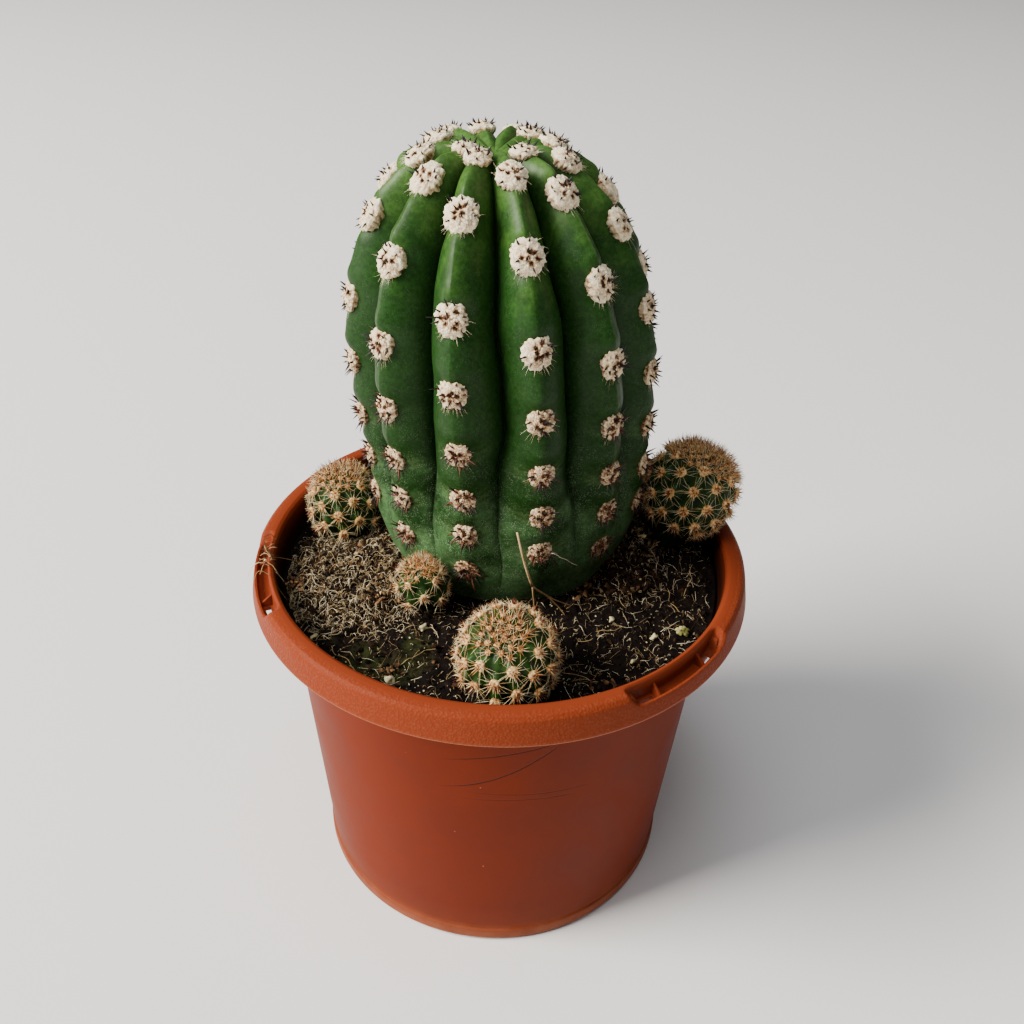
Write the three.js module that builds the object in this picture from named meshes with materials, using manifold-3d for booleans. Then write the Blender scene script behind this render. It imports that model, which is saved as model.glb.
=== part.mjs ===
// A potted columnar cactus with four offsets, in millimetres, +Z up.
// The origin is the middle of the pot's underside, and -Y faces the viewer.
import * as THREE from 'three';
import { mergeVertices } from 'three/addons/utils/BufferGeometryUtils.js';
import Module from 'manifold-3d';

const wasm = await Module();
wasm.setup();

const GAP = 0.3;
const GAP_EASE = 0.08;
const SCRAP = 0.1;
const TURN = Math.PI * 2;
const RAD = Math.PI / 180;

// Pot: a thin moulded wall, flared at the top and wrapped by a hollow rim band
const RIM_RADIUS = 75;
const RIM_SHOULDER_RADIUS = 73.2;
const RIM_TOP = 116;
const BAND_BOTTOM = 107;
const LIP_INNER_RADIUS = 67.8;
const BASE_RADIUS = 57.6;
const WALL_TOP_RADIUS = 64.2;
const WALL = 1.8;
const SKIRT = 1.6;
const FLOOR = 2.4;
const SHOULDER_LOW = 98;
const SHOULDER_HIGH = 103;
const POT_SECTORS = 30;
const DRAIN_HOLES = 6;
const DRAIN_RADIUS = 4.5;
const DRAIN_RING = 38;

// Hanger lugs: three recesses in the band, each with a floor, two webs and two slots
const LUG_ANGLES = [-46, 74, 194];
const LUG_HALF_ARC = 15;
const LUG_WALL_RADIUS = 69.8;
const LUG_TOP = 113.2;
const LUG_FLOOR = 107.6;
const LUG_FLOOR_THICK = 1.2;
const WEB_ARC = 7.2;
const WEB_THICK = 1.3;
const SLOT_ARC = 3.6;

// Soil: its level, its mounds and the slope towards the right of the pot
const SOIL_LEVEL = 105;
const SOIL_RADIUS = 66.1;
const SOIL_RINGS = 5;
const SOIL_MOUNDS = [
  { x: 1, y: 18, spread: 46, rise: 5.2 },
  { x: 2, y: -24, spread: 13, rise: 1.4 },
  { x: -46, y: -4, spread: 24, rise: 1.6 },
  { x: 52, y: 13, spread: 17, rise: 8.5 },
];

// Main stem: twelve ribs round an axis behind the pot's middle
const STEM_AXIS_Y = 18;
const STEM_RIBS = 12;
const FIRST_RIB_ANGLE = -75.5;
const GROOVE_DEPTH = 11;
const CREST_PROFILE = [
  [0, 227.6], [5, 229.4], [10, 230.6], [15, 230.2], [20, 228], [24.6, 224.2], [29, 219.3],
  [33.4, 213.5], [37, 206.5], [40.2, 197], [42.4, 186], [43, 175], [42.9, 163], [42.2, 152],
  [41.4, 140], [40.4, 128], [38.8, 118], [36.4, 109], [33.6, 101], [28, 95.5], [17, 92],
  [10, 85], [6.5, 76], [3.5, 66],
];
const STEM_LEAN = [[90, 1.2], [118, 1.1], [140, 1], [167, -0.9], [203, -3.4], [233, -5.4]];
const AREOLE_STATIONS = [4, 14, 32, 57.5, 77, 94.7, 109.7, 122, 135.5];
const AREOLE_PHASES = [0.35, 0.6, 0, 0.38, 0.75, 0.35, 0.15, 0, 0.45, 0.05, 0.3, 0.1];
const YOUNGEST_AREOLE = 9;
const STEM_ROW_STEP = 8.2;
const STEM_SHOWN_LENGTH = 156;
const STEM_BURIED_ROWS = 4;
const PAD_SIDES = 5;
const STEM_SPINES = [[36, 1.3], [180, 0.5], [324, 0.5]];
const STEM_SPINE = 3.6;
const STEM_HOLE_SECTORS = 20;
const SPINE_BENDS = [0, 1.2, 3];
const TIP_CLEARANCE = 0.8;
const STEM_SPINY_RADIUS = 42.6;

// Offsets: foot in the soil, lean of the axis, body radius and length above the foot
const OFFSETS = [
  {
    name: 'offset_front', foot: [3.4, -49.6, 104], lean: [0, -0.03],
    radius: 12, length: 23.6, ribs: 14, seed: 3,
  },
  {
    name: 'offset_right', foot: [53.4, 11, 119], lean: [0.42, 0.3],
    radius: 12.6, length: 24.6, ribs: 14, seed: 5,
  },
  {
    name: 'offset_left', foot: [-47.8, 17, 105], lean: [-0.2, 0.06],
    radius: 9.6, length: 23, ribs: 12, seed: 7,
  },
  {
    name: 'offset_small', foot: [-21.5, -20.6, 109], lean: [-0.1, -0.1],
    radius: 6, length: 14, ribs: 9, seed: 11,
  },
];
const OFFSET_OUTLINE = [
  [0, 0.96], [0.28, 1], [0.62, 0.92], [0.86, 0.76], [0.99, 0.55], [0.98, 0.36], [0.86, 0.16],
  [0.66, 0.02],
  [0.42, -0.18], [0.3, -0.45], [0.12, -0.8],
];
const OFFSET_HALF_PITCH = 3.2;
const OFFSET_BODY_SHARE = 0.64;
const NECK_ROWS = 2;
const AREOLE_RISE = 1.4;
const KNOB_CLEARANCE = 3.4;
const OFFSET_SPINES = [[130, 0.55], [310, 0.55]];
const APEX_SPINES = [[130, 2.2], [310, 1.6]];
const OFFSET_SPINE = 4.2;
const HOLE_SECTORS = 10;
const HOLE_EASE = 1.2;

// Litter: mats of dry fibre and husk crumbs on the soil. Each has a middle, two radii and a
// height, and a core that is smaller than the mat by the share given.
const MATS = [
  {
    name: 'litter_left', x: -44, y: -10, radiusX: 20, radiusY: 19, rise: 2, core: 0.7,
    strands: 14, reach: 13, crumbs: 0, seed: 21,
  },
  {
    name: 'litter_rear', x: -38, y: 26, radiusX: 10, radiusY: 17, rise: 9, core: 0.6,
    strands: 6, reach: 9, crumbs: 4, seed: 23,
  },
  {
    name: 'litter_right', x: 37, y: 0, radiusX: 12, radiusY: 14, rise: 6.5, core: 0.5,
    strands: 8, reach: 7, crumbs: 9, seed: 25,
  },
];
const FIBRE_RADIUS = 0.45;
const LITTER_GAP = 0.45;

// Dry stalks, from top to foot, and the loose rootlets' middles, turns and lengths
const TWIG_STALK = [[4.6, -26, 138.6], [6.6, -28, 131], [9.3, -26.5, 120.7]];
const TWIG_LEGS = [
  [[9.3, -26.5, 120.7], [10.2, -24.6, 113], [10.4, -22.8, 107.6]],
  [[9.3, -26.5, 120.7], [15.6, -22.5, 112.4], [19.6, -22.4, 106.8]],
  [[9.3, -26.5, 120.7], [15, -22.6, 113.6], [21.5, -18.6, 107.6]],
];
const TWIG_RADIUS = 0.75;
const ROOTLETS = [
  { x: 30, y: -30, turn: 20, length: 15 },
  { x: 52, y: -13, turn: 105, length: 11 },
  { x: 22, y: -46, turn: 160, length: 13 },
  { x: 57, y: -6, turn: 70, length: 11 },
  { x: -22, y: -42, turn: 35, length: 13 },
  { x: -41, y: -44, turn: 140, length: 16 },
];
const GRAINS = [
  { x: -28.6, y: -50.6, size: 1.7 }, { x: -25.6, y: -57, size: 1.3 }, { x: -21, y: -31, size: 1.5 },
  { x: 33, y: -23.6, size: 1.1 }, { x: 45, y: -29, size: 1.2 }, { x: 38, y: -41, size: 1 },
  { x: 28.3, y: -53.4, size: 1.6 }, { x: -52, y: -34, size: 1.1 },
];
const SEEDLING = { x: 53.6, y: -26, leaves: 4, reach: 2.4 };

const finish = (color, roughness) => new THREE.MeshStandardMaterial({ color, roughness, metalness: 0 });
const TERRACOTTA = finish(0xb3532f, 0.5);
const PEAT = finish(0x2b211a, 0.95);
const GREEN_SKIN = finish(0x3c6b2c, 0.45);
const YOUNG_SKIN = finish(0x4c7a34, 0.5);
const DRY_FIBRE = finish(0x8c7350, 0.9);
const CRUMBS = finish(0x5e4330, 0.95);
const DRY_WOOD = finish(0xb39a6b, 0.8);
const PALE_GRAIN = finish(0xd8d2a8, 0.85);
const SPROUT_GREEN = finish(0x8f9c52, 0.7);

const smooth = (t) => THREE.MathUtils.smoothstep(t, 0, 1);

// Straight-line reading of a list of [position, value] stations
function stationValue(stations, at) {
  const next = stations.findIndex(([position]) => position > at);
  if (next === 0) return stations[0][1];
  if (next < 0) return stations[stations.length - 1][1];
  const [p0, v0] = stations[next - 1];
  const [p1, v1] = stations[next];
  return THREE.MathUtils.mapLinear(at, p0, p1, v0, v1);
}

// A seeded random source, so that every run gives the same plant
function seededRandom(seed) {
  let state = seed;
  return () => {
    state = (state * 1664525 + 1013904223) % 4294967296;
    return state / 4294967296;
  };
}

function solidOf(geometry) {
  const bare = geometry.index ? geometry : mergeVertices(geometry);
  bare.deleteAttribute('normal');
  bare.deleteAttribute('uv');
  const closed = mergeVertices(bare);
  return new wasm.Manifold(new wasm.Mesh({
    numProp: 3,
    vertProperties: Float32Array.from(closed.attributes.position.array),
    triVerts: Uint32Array.from(closed.index.array),
  }));
}

// The largest body of a solid: loose scraps left by a cut are dropped
function geometryOf(solid) {
  const body = solid.decompose().sort((a, b) => b.volume() - a.volume())[0];
  const { vertProperties, triVerts } = body.getMesh();
  const geometry = new THREE.BufferGeometry();
  geometry.setAttribute('position', new THREE.BufferAttribute(vertProperties, 3));
  geometry.setIndex(new THREE.BufferAttribute(triVerts, 1));
  return geometry;
}

function namedMesh(name, solid, material) {
  const mesh = new THREE.Mesh(geometryOf(solid), material);
  mesh.name = name;
  return mesh;
}

// A closed skin of rings between two end points; place(ring, sector) gives each point
function ringedSkin(rings, sectors, bottom, top, place) {
  const points = [bottom];
  for (let ring = 0; ring < rings; ring += 1) {
    for (let sector = 0; sector < sectors; sector += 1) points.push(place(ring, sector));
  }
  points.push(top);
  const last = points.length - 1;
  const at = (ring, sector) => 1 + ring * sectors + (sector % sectors);
  const triangles = [];
  for (let sector = 0; sector < sectors; sector += 1) {
    triangles.push(0, at(0, sector + 1), at(0, sector));
    triangles.push(last, at(rings - 1, sector), at(rings - 1, sector + 1));
    for (let ring = 0; ring < rings - 1; ring += 1) {
      const [a, b] = [at(ring, sector), at(ring, sector + 1)];
      const [c, d] = [at(ring + 1, sector + 1), at(ring + 1, sector)];
      triangles.push(a, b, c, a, c, d);
    }
  }
  const geometry = new THREE.BufferGeometry().setFromPoints(points);
  geometry.setIndex(triangles);
  return geometry;
}

// A frame on a skin: +X runs east round the body, +Y up along it and +Z out of it
function skinFrame(point, east, out) {
  const up = new THREE.Vector3().crossVectors(out, east);
  return new THREE.Matrix4().makeBasis(east, up, out).setPosition(point);
}

// A frame whose +Z is the given direction, standing at a point
function frameAt(point, direction) {
  const turn = new THREE.Quaternion().setFromUnitVectors(new THREE.Vector3(0, 0, 1), direction);
  return new THREE.Matrix4().compose(point, turn, new THREE.Vector3(1, 1, 1));
}

// A solid turned from [radius, height] points, its facets in step with the lugs' arcs
function turned(points, sectors) {
  const profile = points.map(([radius, height]) => new THREE.Vector2(radius, height));
  const firstFacet = (LUG_ANGLES[0] + 90) * RAD + TURN / sectors / 2;
  return solidOf(new THREE.LatheGeometry(profile, sectors, firstFacet).rotateX(Math.PI / 2));
}

// An upright block that follows the rim: an arc of a ring between two heights
function arcBlock(angle, halfArc, inner, outer, low, high) {
  const shape = new THREE.Shape();
  shape.absarc(0, 0, outer, (angle - halfArc) * RAD, (angle + halfArc) * RAD, false);
  shape.absarc(0, 0, inner, (angle + halfArc) * RAD, (angle - halfArc) * RAD, true);
  const steps = Math.max(1, Math.round(halfArc / 10));
  const extrusion = { depth: high - low, bevelEnabled: false, curveSegments: steps };
  return solidOf(new THREE.ExtrudeGeometry(shape, extrusion).translate(0, 0, low));
}

function potWall() {
  const lipRadius = LIP_INNER_RADIUS;
  const skirtInner = RIM_SHOULDER_RADIUS - SKIRT + 0.5;
  return turned([
    [0, 0], [BASE_RADIUS - 1, 0], [BASE_RADIUS + 0.4, 1.4], [BASE_RADIUS + 0.4, 5],
    [BASE_RADIUS - 0.2, 5.6], [WALL_TOP_RADIUS, SHOULDER_LOW],
    [LUG_WALL_RADIUS - 0.6, SHOULDER_HIGH], [LUG_WALL_RADIUS, RIM_TOP - 2],
    [skirtInner, RIM_TOP - 2.2], [RIM_RADIUS - SKIRT, BAND_BOTTOM], [RIM_RADIUS, BAND_BOTTOM],
    [RIM_SHOULDER_RADIUS + 0.5, RIM_TOP - 1.4], [RIM_SHOULDER_RADIUS - 0.6, RIM_TOP - 0.3],
    [lipRadius + 1.4, RIM_TOP], [lipRadius + 0.4, RIM_TOP - 0.5], [lipRadius, RIM_TOP - 1.8],
    [SOIL_RADIUS + 0.4, SHOULDER_HIGH + 1.4], [WALL_TOP_RADIUS - WALL, SHOULDER_LOW - 0.4],
    [BASE_RADIUS - WALL, FLOOR + 2], [BASE_RADIUS - WALL - 2, FLOOR], [0, FLOOR],
  ], POT_SECTORS);
}

// One hanger lug: the band is cut down, and a floor with webs and slots fills it
function cutLug(pot, angle) {
  const beyond = RIM_RADIUS + 5;
  const skirtInner = RIM_RADIUS - SKIRT - 0.4;
  const inWall = LUG_WALL_RADIUS - 1;
  const opened = pot
    .subtract(arcBlock(angle, LUG_HALF_ARC, LUG_WALL_RADIUS, beyond, LUG_TOP, RIM_TOP + 5))
    .subtract(arcBlock(angle, LUG_HALF_ARC - 1.5, LUG_WALL_RADIUS, skirtInner, LUG_FLOOR, RIM_TOP + 5));
  const floorTop = LUG_FLOOR + LUG_FLOOR_THICK;
  const floorEdge = RIM_RADIUS - SKIRT / 2;
  let filled = opened.add(arcBlock(angle, LUG_HALF_ARC, inWall, floorEdge, LUG_FLOOR, floorTop));
  for (const side of [-1, 1]) {
    const webAngle = angle + side * WEB_ARC;
    const halfWeb = WEB_THICK / 2 / LUG_WALL_RADIUS / RAD;
    filled = filled.add(arcBlock(webAngle, halfWeb, inWall, skirtInner + 0.6, LUG_FLOOR, LUG_TOP - 1));
    const slotAngle = webAngle + side * (SLOT_ARC / 2 + 0.8);
    const slotInner = LUG_WALL_RADIUS + 0.6;
    const slot = arcBlock(slotAngle, SLOT_ARC / 2, slotInner, skirtInner, LUG_FLOOR - 1, floorTop + 1);
    filled = filled.subtract(slot);
  }
  return filled;
}

function drainHole(index) {
  const angle = (index / DRAIN_HOLES) * TURN;
  const hole = new THREE.CylinderGeometry(DRAIN_RADIUS, DRAIN_RADIUS, FLOOR * 3, 6).rotateX(Math.PI / 2);
  return solidOf(hole.translate(DRAIN_RING * Math.cos(angle), DRAIN_RING * Math.sin(angle), FLOOR / 2));
}

function makePot() {
  const holes = Array.from({ length: DRAIN_HOLES }, (_, index) => drainHole(index));
  const drained = holes.reduce((solid, hole) => solid.subtract(hole), potWall());
  return namedMesh('pot', LUG_ANGLES.reduce(cutLug, drained).simplify(SCRAP), TERRACOTTA);
}

// Height of the soil's surface, mounds and fine unevenness together
function soilHeight(x, y) {
  const mounds = SOIL_MOUNDS.reduce((sum, { x: mx, y: my, spread, rise }) => {
    const distance = Math.hypot(x - mx, y - my) / spread;
    return sum + rise * Math.exp(-distance * distance);
  }, 0);
  const ripple = 0.35 * Math.sin(x * 0.14 + y * 0.09) + 0.3 * Math.sin(y * 0.17 - x * 0.06);
  return SOIL_LEVEL + mounds + ripple - 0.008 * x;
}

// The soil fills the pot from its floor; raise lifts the surface, to cut what lies on it
function soilBlock(raise) {
  const buried = [
    [BASE_RADIUS - WALL - 2 - GAP, FLOOR + GAP], [BASE_RADIUS - WALL - GAP, FLOOR + GAP + 2],
    [WALL_TOP_RADIUS - WALL - GAP, SHOULDER_LOW],
  ];
  const rings = buried.length + SOIL_RINGS;
  const first = LUG_ANGLES[0] * RAD + TURN / POT_SECTORS / 2;
  const ends = [new THREE.Vector3(0, 0, FLOOR + GAP), new THREE.Vector3(0, 0, soilHeight(0, 0) + raise)];
  const block = ringedSkin(rings, POT_SECTORS, ...ends, (ring, sector) => {
    const angle = first + (sector / POT_SECTORS) * TURN;
    const step = ring - buried.length;
    const radius = step < 0 ? buried[ring][0] : SOIL_RADIUS * (1 - step / SOIL_RINGS);
    const [x, y] = [radius * Math.cos(angle), radius * Math.sin(angle)];
    return new THREE.Vector3(x, y, step < 0 ? buried[ring][1] : soilHeight(x, y) + raise);
  });
  return solidOf(block);
}

const outlineOf = (points) => new THREE.SplineCurve(points.map(([r, h]) => new THREE.Vector2(r, h)));
const crest = outlineOf(CREST_PROFILE);
crest.arcLengthDivisions = 400;
const CREST_LENGTH = crest.getLength();

function stemAxisX(height) {
  return stationValue(STEM_LEAN, height);
}

function grooveDepth(along) {
  return GROOVE_DEPTH * smooth(along / 38) * (1 - smooth((along - 78) / 78));
}

// The rib's section, from 0 on the crest to 1 in the groove
function ribSection(across) {
  const u = Math.abs(across);
  return 0.55 * u ** 1.3 + 0.45 * (1 - Math.sqrt(1 - Math.min(1, u) ** 2));
}

// A point on the crest line of the stem's outline, with its outward direction
function crestAt(along) {
  const u = THREE.MathUtils.clamp(along / CREST_LENGTH, 0, 1);
  const point = crest.getPointAt(u);
  const tangent = crest.getTangentAt(u);
  return { radius: point.x, height: point.y, outX: -tangent.y, outZ: tangent.x };
}

// Seen from above, angle 0 faces -Y and grows towards +X
function aroundStem(angle, radius, height) {
  return new THREE.Vector3(
    stemAxisX(height) + radius * Math.sin(angle),
    STEM_AXIS_Y - radius * Math.cos(angle),
    height,
  );
}

function ribAngle(rib) {
  return (FIRST_RIB_ANGLE + (rib * 360) / STEM_RIBS) * RAD;
}

// Where the areoles of a rib sit, measured along its crest from the crown
function areolesOf(rib) {
  const phase = AREOLE_PHASES[rib];
  return AREOLE_STATIONS.slice(0, -1)
    .map((station, index) => station + phase * (AREOLE_STATIONS[index + 1] - station))
    .filter((along) => along > YOUNGEST_AREOLE);
}

// The crest swells between two areoles and dips at each one
function crestSwell(rib, along) {
  const areoles = areolesOf(rib);
  const nearest = Math.min(...areoles.map((at) => Math.abs(at - along)));
  return 1.3 * smooth(nearest / 8) - 0.3;
}

// A point of the stem's skin; grow moves it outward, to cut a hole with clearance
function stemPoint(rib, across, along, grow) {
  const { radius, height, outX, outZ } = crestAt(along);
  const fade = smooth(along / 30) * (1 - smooth((along - 130) / 20));
  const swell = crestSwell(rib, along) * (1 - Math.abs(across)) * fade;
  const inward = grooveDepth(along) * ribSection(across) - swell - grow;
  const angle = ribAngle(rib) + (across * Math.PI) / STEM_RIBS;
  return aroundStem(angle, Math.max(0.2, radius - outX * inward), height - outZ * inward);
}

// The plain round hole that the stem's base stands in
function stemHole() {
  const below = CREST_PROFILE.filter(([, height]) => height < SOIL_LEVEL + 16);
  const last = below.length - 1;
  const easing = 1 / Math.cos(Math.PI / STEM_HOLE_SECTORS);
  const onAxis = (z) => new THREE.Vector3(stemAxisX(z), STEM_AXIS_Y, z);
  const ends = [onAxis(below[last][1] - 3), onAxis(below[0][1])];
  return solidOf(ringedSkin(below.length, STEM_HOLE_SECTORS, ...ends, (ring, sector) => {
    const [radius, height] = below[last - ring];
    const angle = (sector / STEM_HOLE_SECTORS) * TURN;
    return aroundStem(angle, (radius + GAP + 0.7) * easing, height - GAP * 2);
  }));
}

function stemBody(grow) {
  const columns = [-1, -0.5, 0, 0.5];
  const sectors = STEM_RIBS * columns.length;
  const shown = Math.floor(STEM_SHOWN_LENGTH / STEM_ROW_STEP);
  const rows = shown + STEM_BURIED_ROWS;
  const buriedStep = (CREST_LENGTH - STEM_SHOWN_LENGTH) / STEM_BURIED_ROWS;
  const alongRow = (row) => (row < STEM_BURIED_ROWS
    ? CREST_LENGTH - (row + 0.4) * buriedStep
    : (rows - row - 0.45) * (STEM_SHOWN_LENGTH / shown));
  const tip = crestAt(CREST_LENGTH).height - 2 - grow;
  const bottom = new THREE.Vector3(stemAxisX(tip), STEM_AXIS_Y, tip);
  const top = new THREE.Vector3(stemAxisX(CREST_PROFILE[0][1]), STEM_AXIS_Y, CREST_PROFILE[0][1]);
  return ringedSkin(rows, sectors, bottom, top, (row, sector) => {
    const rib = Math.floor(sector / columns.length) % STEM_RIBS;
    return stemPoint(rib, columns[sector % columns.length], alongRow(row), grow);
  });
}

// A low woolly pad: a cone that swells over the skin, on a root sunk into what it grows on
function woolPad(frame, radius, rise, sunk, sides) {
  const bottom = new THREE.Vector3(0, 0, -sunk);
  const top = new THREE.Vector3(0, 0, rise);
  const pad = ringedSkin(1, sides, bottom, top, (ring, sector) => {
    const angle = (sector / sides) * TURN;
    return new THREE.Vector3(radius * Math.cos(angle), radius * Math.sin(angle), rise * 0.5);
  });
  return solidOf(pad.applyMatrix4(frame));
}

// A three-sided spine from a point, along a direction, with a sunk root
function spine(frame, start, direction, length, thick, tipRadius, sunk) {
  const from = start.clone().addScaledVector(direction, -sunk);
  const whole = length + sunk;
  const cone = new THREE.CylinderGeometry(tipRadius, thick, whole, 3, 1).rotateX(Math.PI / 2);
  return solidOf(cone.translate(0, 0, whole / 2).applyMatrix4(frameAt(from, direction)).applyMatrix4(frame));
}

// Spines of an areole: each has a turn round it and a tilt, and starts off the areole's middle.
// One whose tip would reach a neighbour is bent up, and left out where that isn't enough.
function spineTuft(frame, { start, level, spines, reach, thick, sunk, grow, isFree }, random) {
  const grown = [];
  for (const [turn, tilt] of spines) {
    const angle = turn * RAD + 0.3 * (random() - 0.5);
    const lift = tilt + 0.3 * random();
    const length = reach * (0.8 + 0.4 * random());
    const from = new THREE.Vector3(Math.cos(angle) * start, Math.sin(angle) * start, level);
    const aim = (bend) => new THREE.Vector3(Math.cos(angle), Math.sin(angle), lift + bend).normalize();
    const tip = (bend) => from.clone().addScaledVector(aim(bend), length).applyMatrix4(frame);
    const bend = SPINE_BENDS.find((amount) => isFree(tip(amount)));
    if (bend === undefined) continue;
    grown.push(spine(frame, from, aim(bend), length + 2 * grow, thick + 2 * grow, 2 * grow, sunk));
  }
  return grown;
}

function stemAreoleFrame(rib, along) {
  const { radius, height, outX, outZ } = crestAt(along);
  const angle = ribAngle(rib);
  const sink = -crestSwell(rib, along) * smooth(along / 30);
  const point = aroundStem(angle, radius - outX * sink, height - outZ * sink);
  const out = new THREE.Vector3(outX * Math.sin(angle), -outX * Math.cos(angle), outZ).normalize();
  return skinFrame(point, new THREE.Vector3(Math.cos(angle), Math.sin(angle), 0), out);
}

// Whether a spine's tip stays above the soil and off the offsets
function clearOfOffsets(tip) {
  return tip.z > soilHeight(tip.x, tip.y) + TIP_CLEARANCE && OFFSETS.every((offset) => {
    const local = tip.clone().applyMatrix4(offsetFrame(offset).invert());
    const across = Math.hypot(local.x, local.y) / (offset.radius + 2.5);
    const along = (local.z - offset.length * 0.5) / (offset.length * 0.5 + 3);
    return Math.hypot(across, along) > 1;
  });
}

// The stem with its areoles; grow thickens all of it, to cut litter clear of it
function mainStem(grow) {
  const random = seededRandom(17);
  const parts = [solidOf(stemBody(grow))];
  for (let rib = 0; rib < STEM_RIBS; rib += 1) {
    for (const along of areolesOf(rib)) {
      const young = 1 - smooth((along - 30) / 80);
      const [radius, rise] = [3.6 + 1.3 * young, 2 + 0.9 * young];
      const frame = stemAreoleFrame(rib, along);
      parts.push(woolPad(frame, radius + grow * 1.4, rise + grow * 1.4, radius, PAD_SIDES));
      const seat = { start: radius * 0.55, level: rise * 0.72, sunk: 0.9, spines: STEM_SPINES };
      const tuft = { ...seat, reach: STEM_SPINE, thick: 0.5, grow, isFree: clearOfOffsets };
      parts.push(...spineTuft(frame, tuft, random));
    }
  }
  return wasm.Manifold.union(parts).simplify(SCRAP);
}

// An offset's frame: its foot is the origin and its axis is +Z
function offsetFrame({ foot, lean }) {
  return frameAt(new THREE.Vector3(...foot), new THREE.Vector3(...lean, 1).normalize());
}

function offsetCurve({ radius, length }) {
  return outlineOf(OFFSET_OUTLINE.map(([r, h]) => [r * radius, h * length]));
}

// Rows of an offset's grid, counted from the apex: even ones down to its foot, two on its neck
function bodyRows(offset) {
  return Math.round((offsetCurve(offset).getLength() * OFFSET_BODY_SHARE) / OFFSET_HALF_PITCH);
}

function offsetRows(offset) {
  return bodyRows(offset) + NECK_ROWS;
}

// Where a row lies, as a share of the outline's length
function rowShare(offset, row) {
  const foot = bodyRows(offset);
  return row <= foot
    ? OFFSET_BODY_SHARE * (row / foot)
    : THREE.MathUtils.mapLinear(row, foot, foot + NECK_ROWS, OFFSET_BODY_SHARE, 1);
}

// Areoles sit on every other crossing of rows and ribs, and on fewer round the apex
function hasAreole(row, rib) {
  return row === 1 ? rib % 4 === 1 : (row + rib) % 2 === 0;
}

// A point of an offset's skin on a row and an angle, moved outward by rise
function offsetPoint(offset, row, angle, rise) {
  const curve = offsetCurve(offset);
  const u = rowShare(offset, row);
  const point = curve.getPointAt(u);
  const tangent = curve.getTangentAt(u);
  const radius = point.x - tangent.y * rise;
  const [cos, sin] = [Math.cos(angle), Math.sin(angle)];
  const at = new THREE.Vector3(radius * cos, radius * sin, point.y + tangent.x * rise);
  const out = new THREE.Vector3(-tangent.y * cos, -tangent.y * sin, tangent.x).normalize();
  return { at, out, east: new THREE.Vector3(-sin, cos, 0) };
}

// Whether a crossing of an offset's grid has an areole that stands clear of the soil
function isShown(offset, row, rib) {
  const { at } = offsetPoint(offset, row, (rib / offset.ribs) * TURN, 0);
  const world = at.applyMatrix4(offsetFrame(offset));
  const isAboveSoil = world.z > soilHeight(world.x, world.y) + KNOB_CLEARANCE;
  return isAboveSoil && row < bodyRows(offset) && hasAreole(row, rib);
}

// The body of an offset: low ribs whose areoles are raised as knobs above the soil
function offsetBody(offset, grow) {
  const sectors = offset.ribs * 2;
  const rows = offsetRows(offset);
  const height = (row) => offsetPoint(offset, row, 0, 0).at.z;
  const onAxis = (z) => new THREE.Vector3(0, 0, z);
  const ends = [onAxis(height(rows) - 0.8 - grow), onAxis(height(0) + 0.3 + grow)];
  const skin = ringedSkin(rows, sectors, ...ends, (ring, sector) => {
    const row = rows - ring;
    const onCrest = sector % 2 === 0;
    const knob = onCrest && isShown(offset, row, sector / 2);
    const groove = onCrest ? 0 : 0.05 * offsetPoint(offset, row, 0, 0).at.x;
    const rise = grow + (knob ? AREOLE_RISE : -groove);
    return offsetPoint(offset, row, (sector / sectors) * TURN, rise).at;
  });
  return solidOf(skin.applyMatrix4(offsetFrame(offset)));
}

// The plain hole that an offset's foot stands in, from under its tip to above the soil
function offsetHole(offset) {
  const frame = offsetFrame(offset);
  const point = (row, sector) => offsetPoint(offset, row, (sector / HOLE_SECTORS) * TURN, HOLE_EASE).at;
  const isAbove = (row, sector) => {
    const world = point(row, sector).applyMatrix4(frame);
    return world.z > soilHeight(world.x, world.y) + 1.5;
  };
  const last = offsetRows(offset);
  const sectors = Array.from({ length: HOLE_SECTORS }, (_, sector) => sector);
  let top = last;
  while (!sectors.every((sector) => isAbove(top, sector))) top -= 1;
  const bottom = new THREE.Vector3(0, 0, point(last, 0).z - 1 - HOLE_EASE);
  const lid = new THREE.Vector3(0, 0, point(top, 0).z);
  const place = (ring, sector) => point(last - ring, sector);
  return solidOf(ringedSkin(last - top + 1, HOLE_SECTORS, bottom, lid, place).applyMatrix4(frame));
}

// Whether a spine's tip stays above the soil, inside or above the rim, and off the main stem
function clearOfPot(tip) {
  const { x, y, z } = tip;
  const inRim = z > RIM_TOP + TIP_CLEARANCE || Math.hypot(x, y) < LIP_INNER_RADIUS - 1 - TIP_CLEARANCE;
  const offStem = Math.hypot(x - stemAxisX(z), y - STEM_AXIS_Y) > STEM_SPINY_RADIUS;
  return inRim && offStem && z > soilHeight(x, y) + TIP_CLEARANCE;
}

function offsetSolid(offset, grow) {
  const random = seededRandom(offset.seed);
  const frame = offsetFrame(offset);
  const parts = [offsetBody(offset, grow)];
  for (let row = 1; row <= offsetRows(offset); row += 1) {
    for (let rib = 0; rib < offset.ribs; rib += 1) {
      if (!isShown(offset, row, rib)) continue;
      const { at, out, east } = offsetPoint(offset, row, (rib / offset.ribs) * TURN, AREOLE_RISE);
      const spines = row < 3 ? APEX_SPINES : OFFSET_SPINES;
      const seat = { start: 1.05, level: -0.5, sunk: 0.8, spines };
      const tuft = { ...seat, reach: OFFSET_SPINE, thick: 0.32, grow, isFree: clearOfPot };
      parts.push(...spineTuft(frame.clone().multiply(skinFrame(at, east, out)), tuft, random));
    }
  }
  return wasm.Manifold.union(parts).simplify(SCRAP);
}

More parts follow.
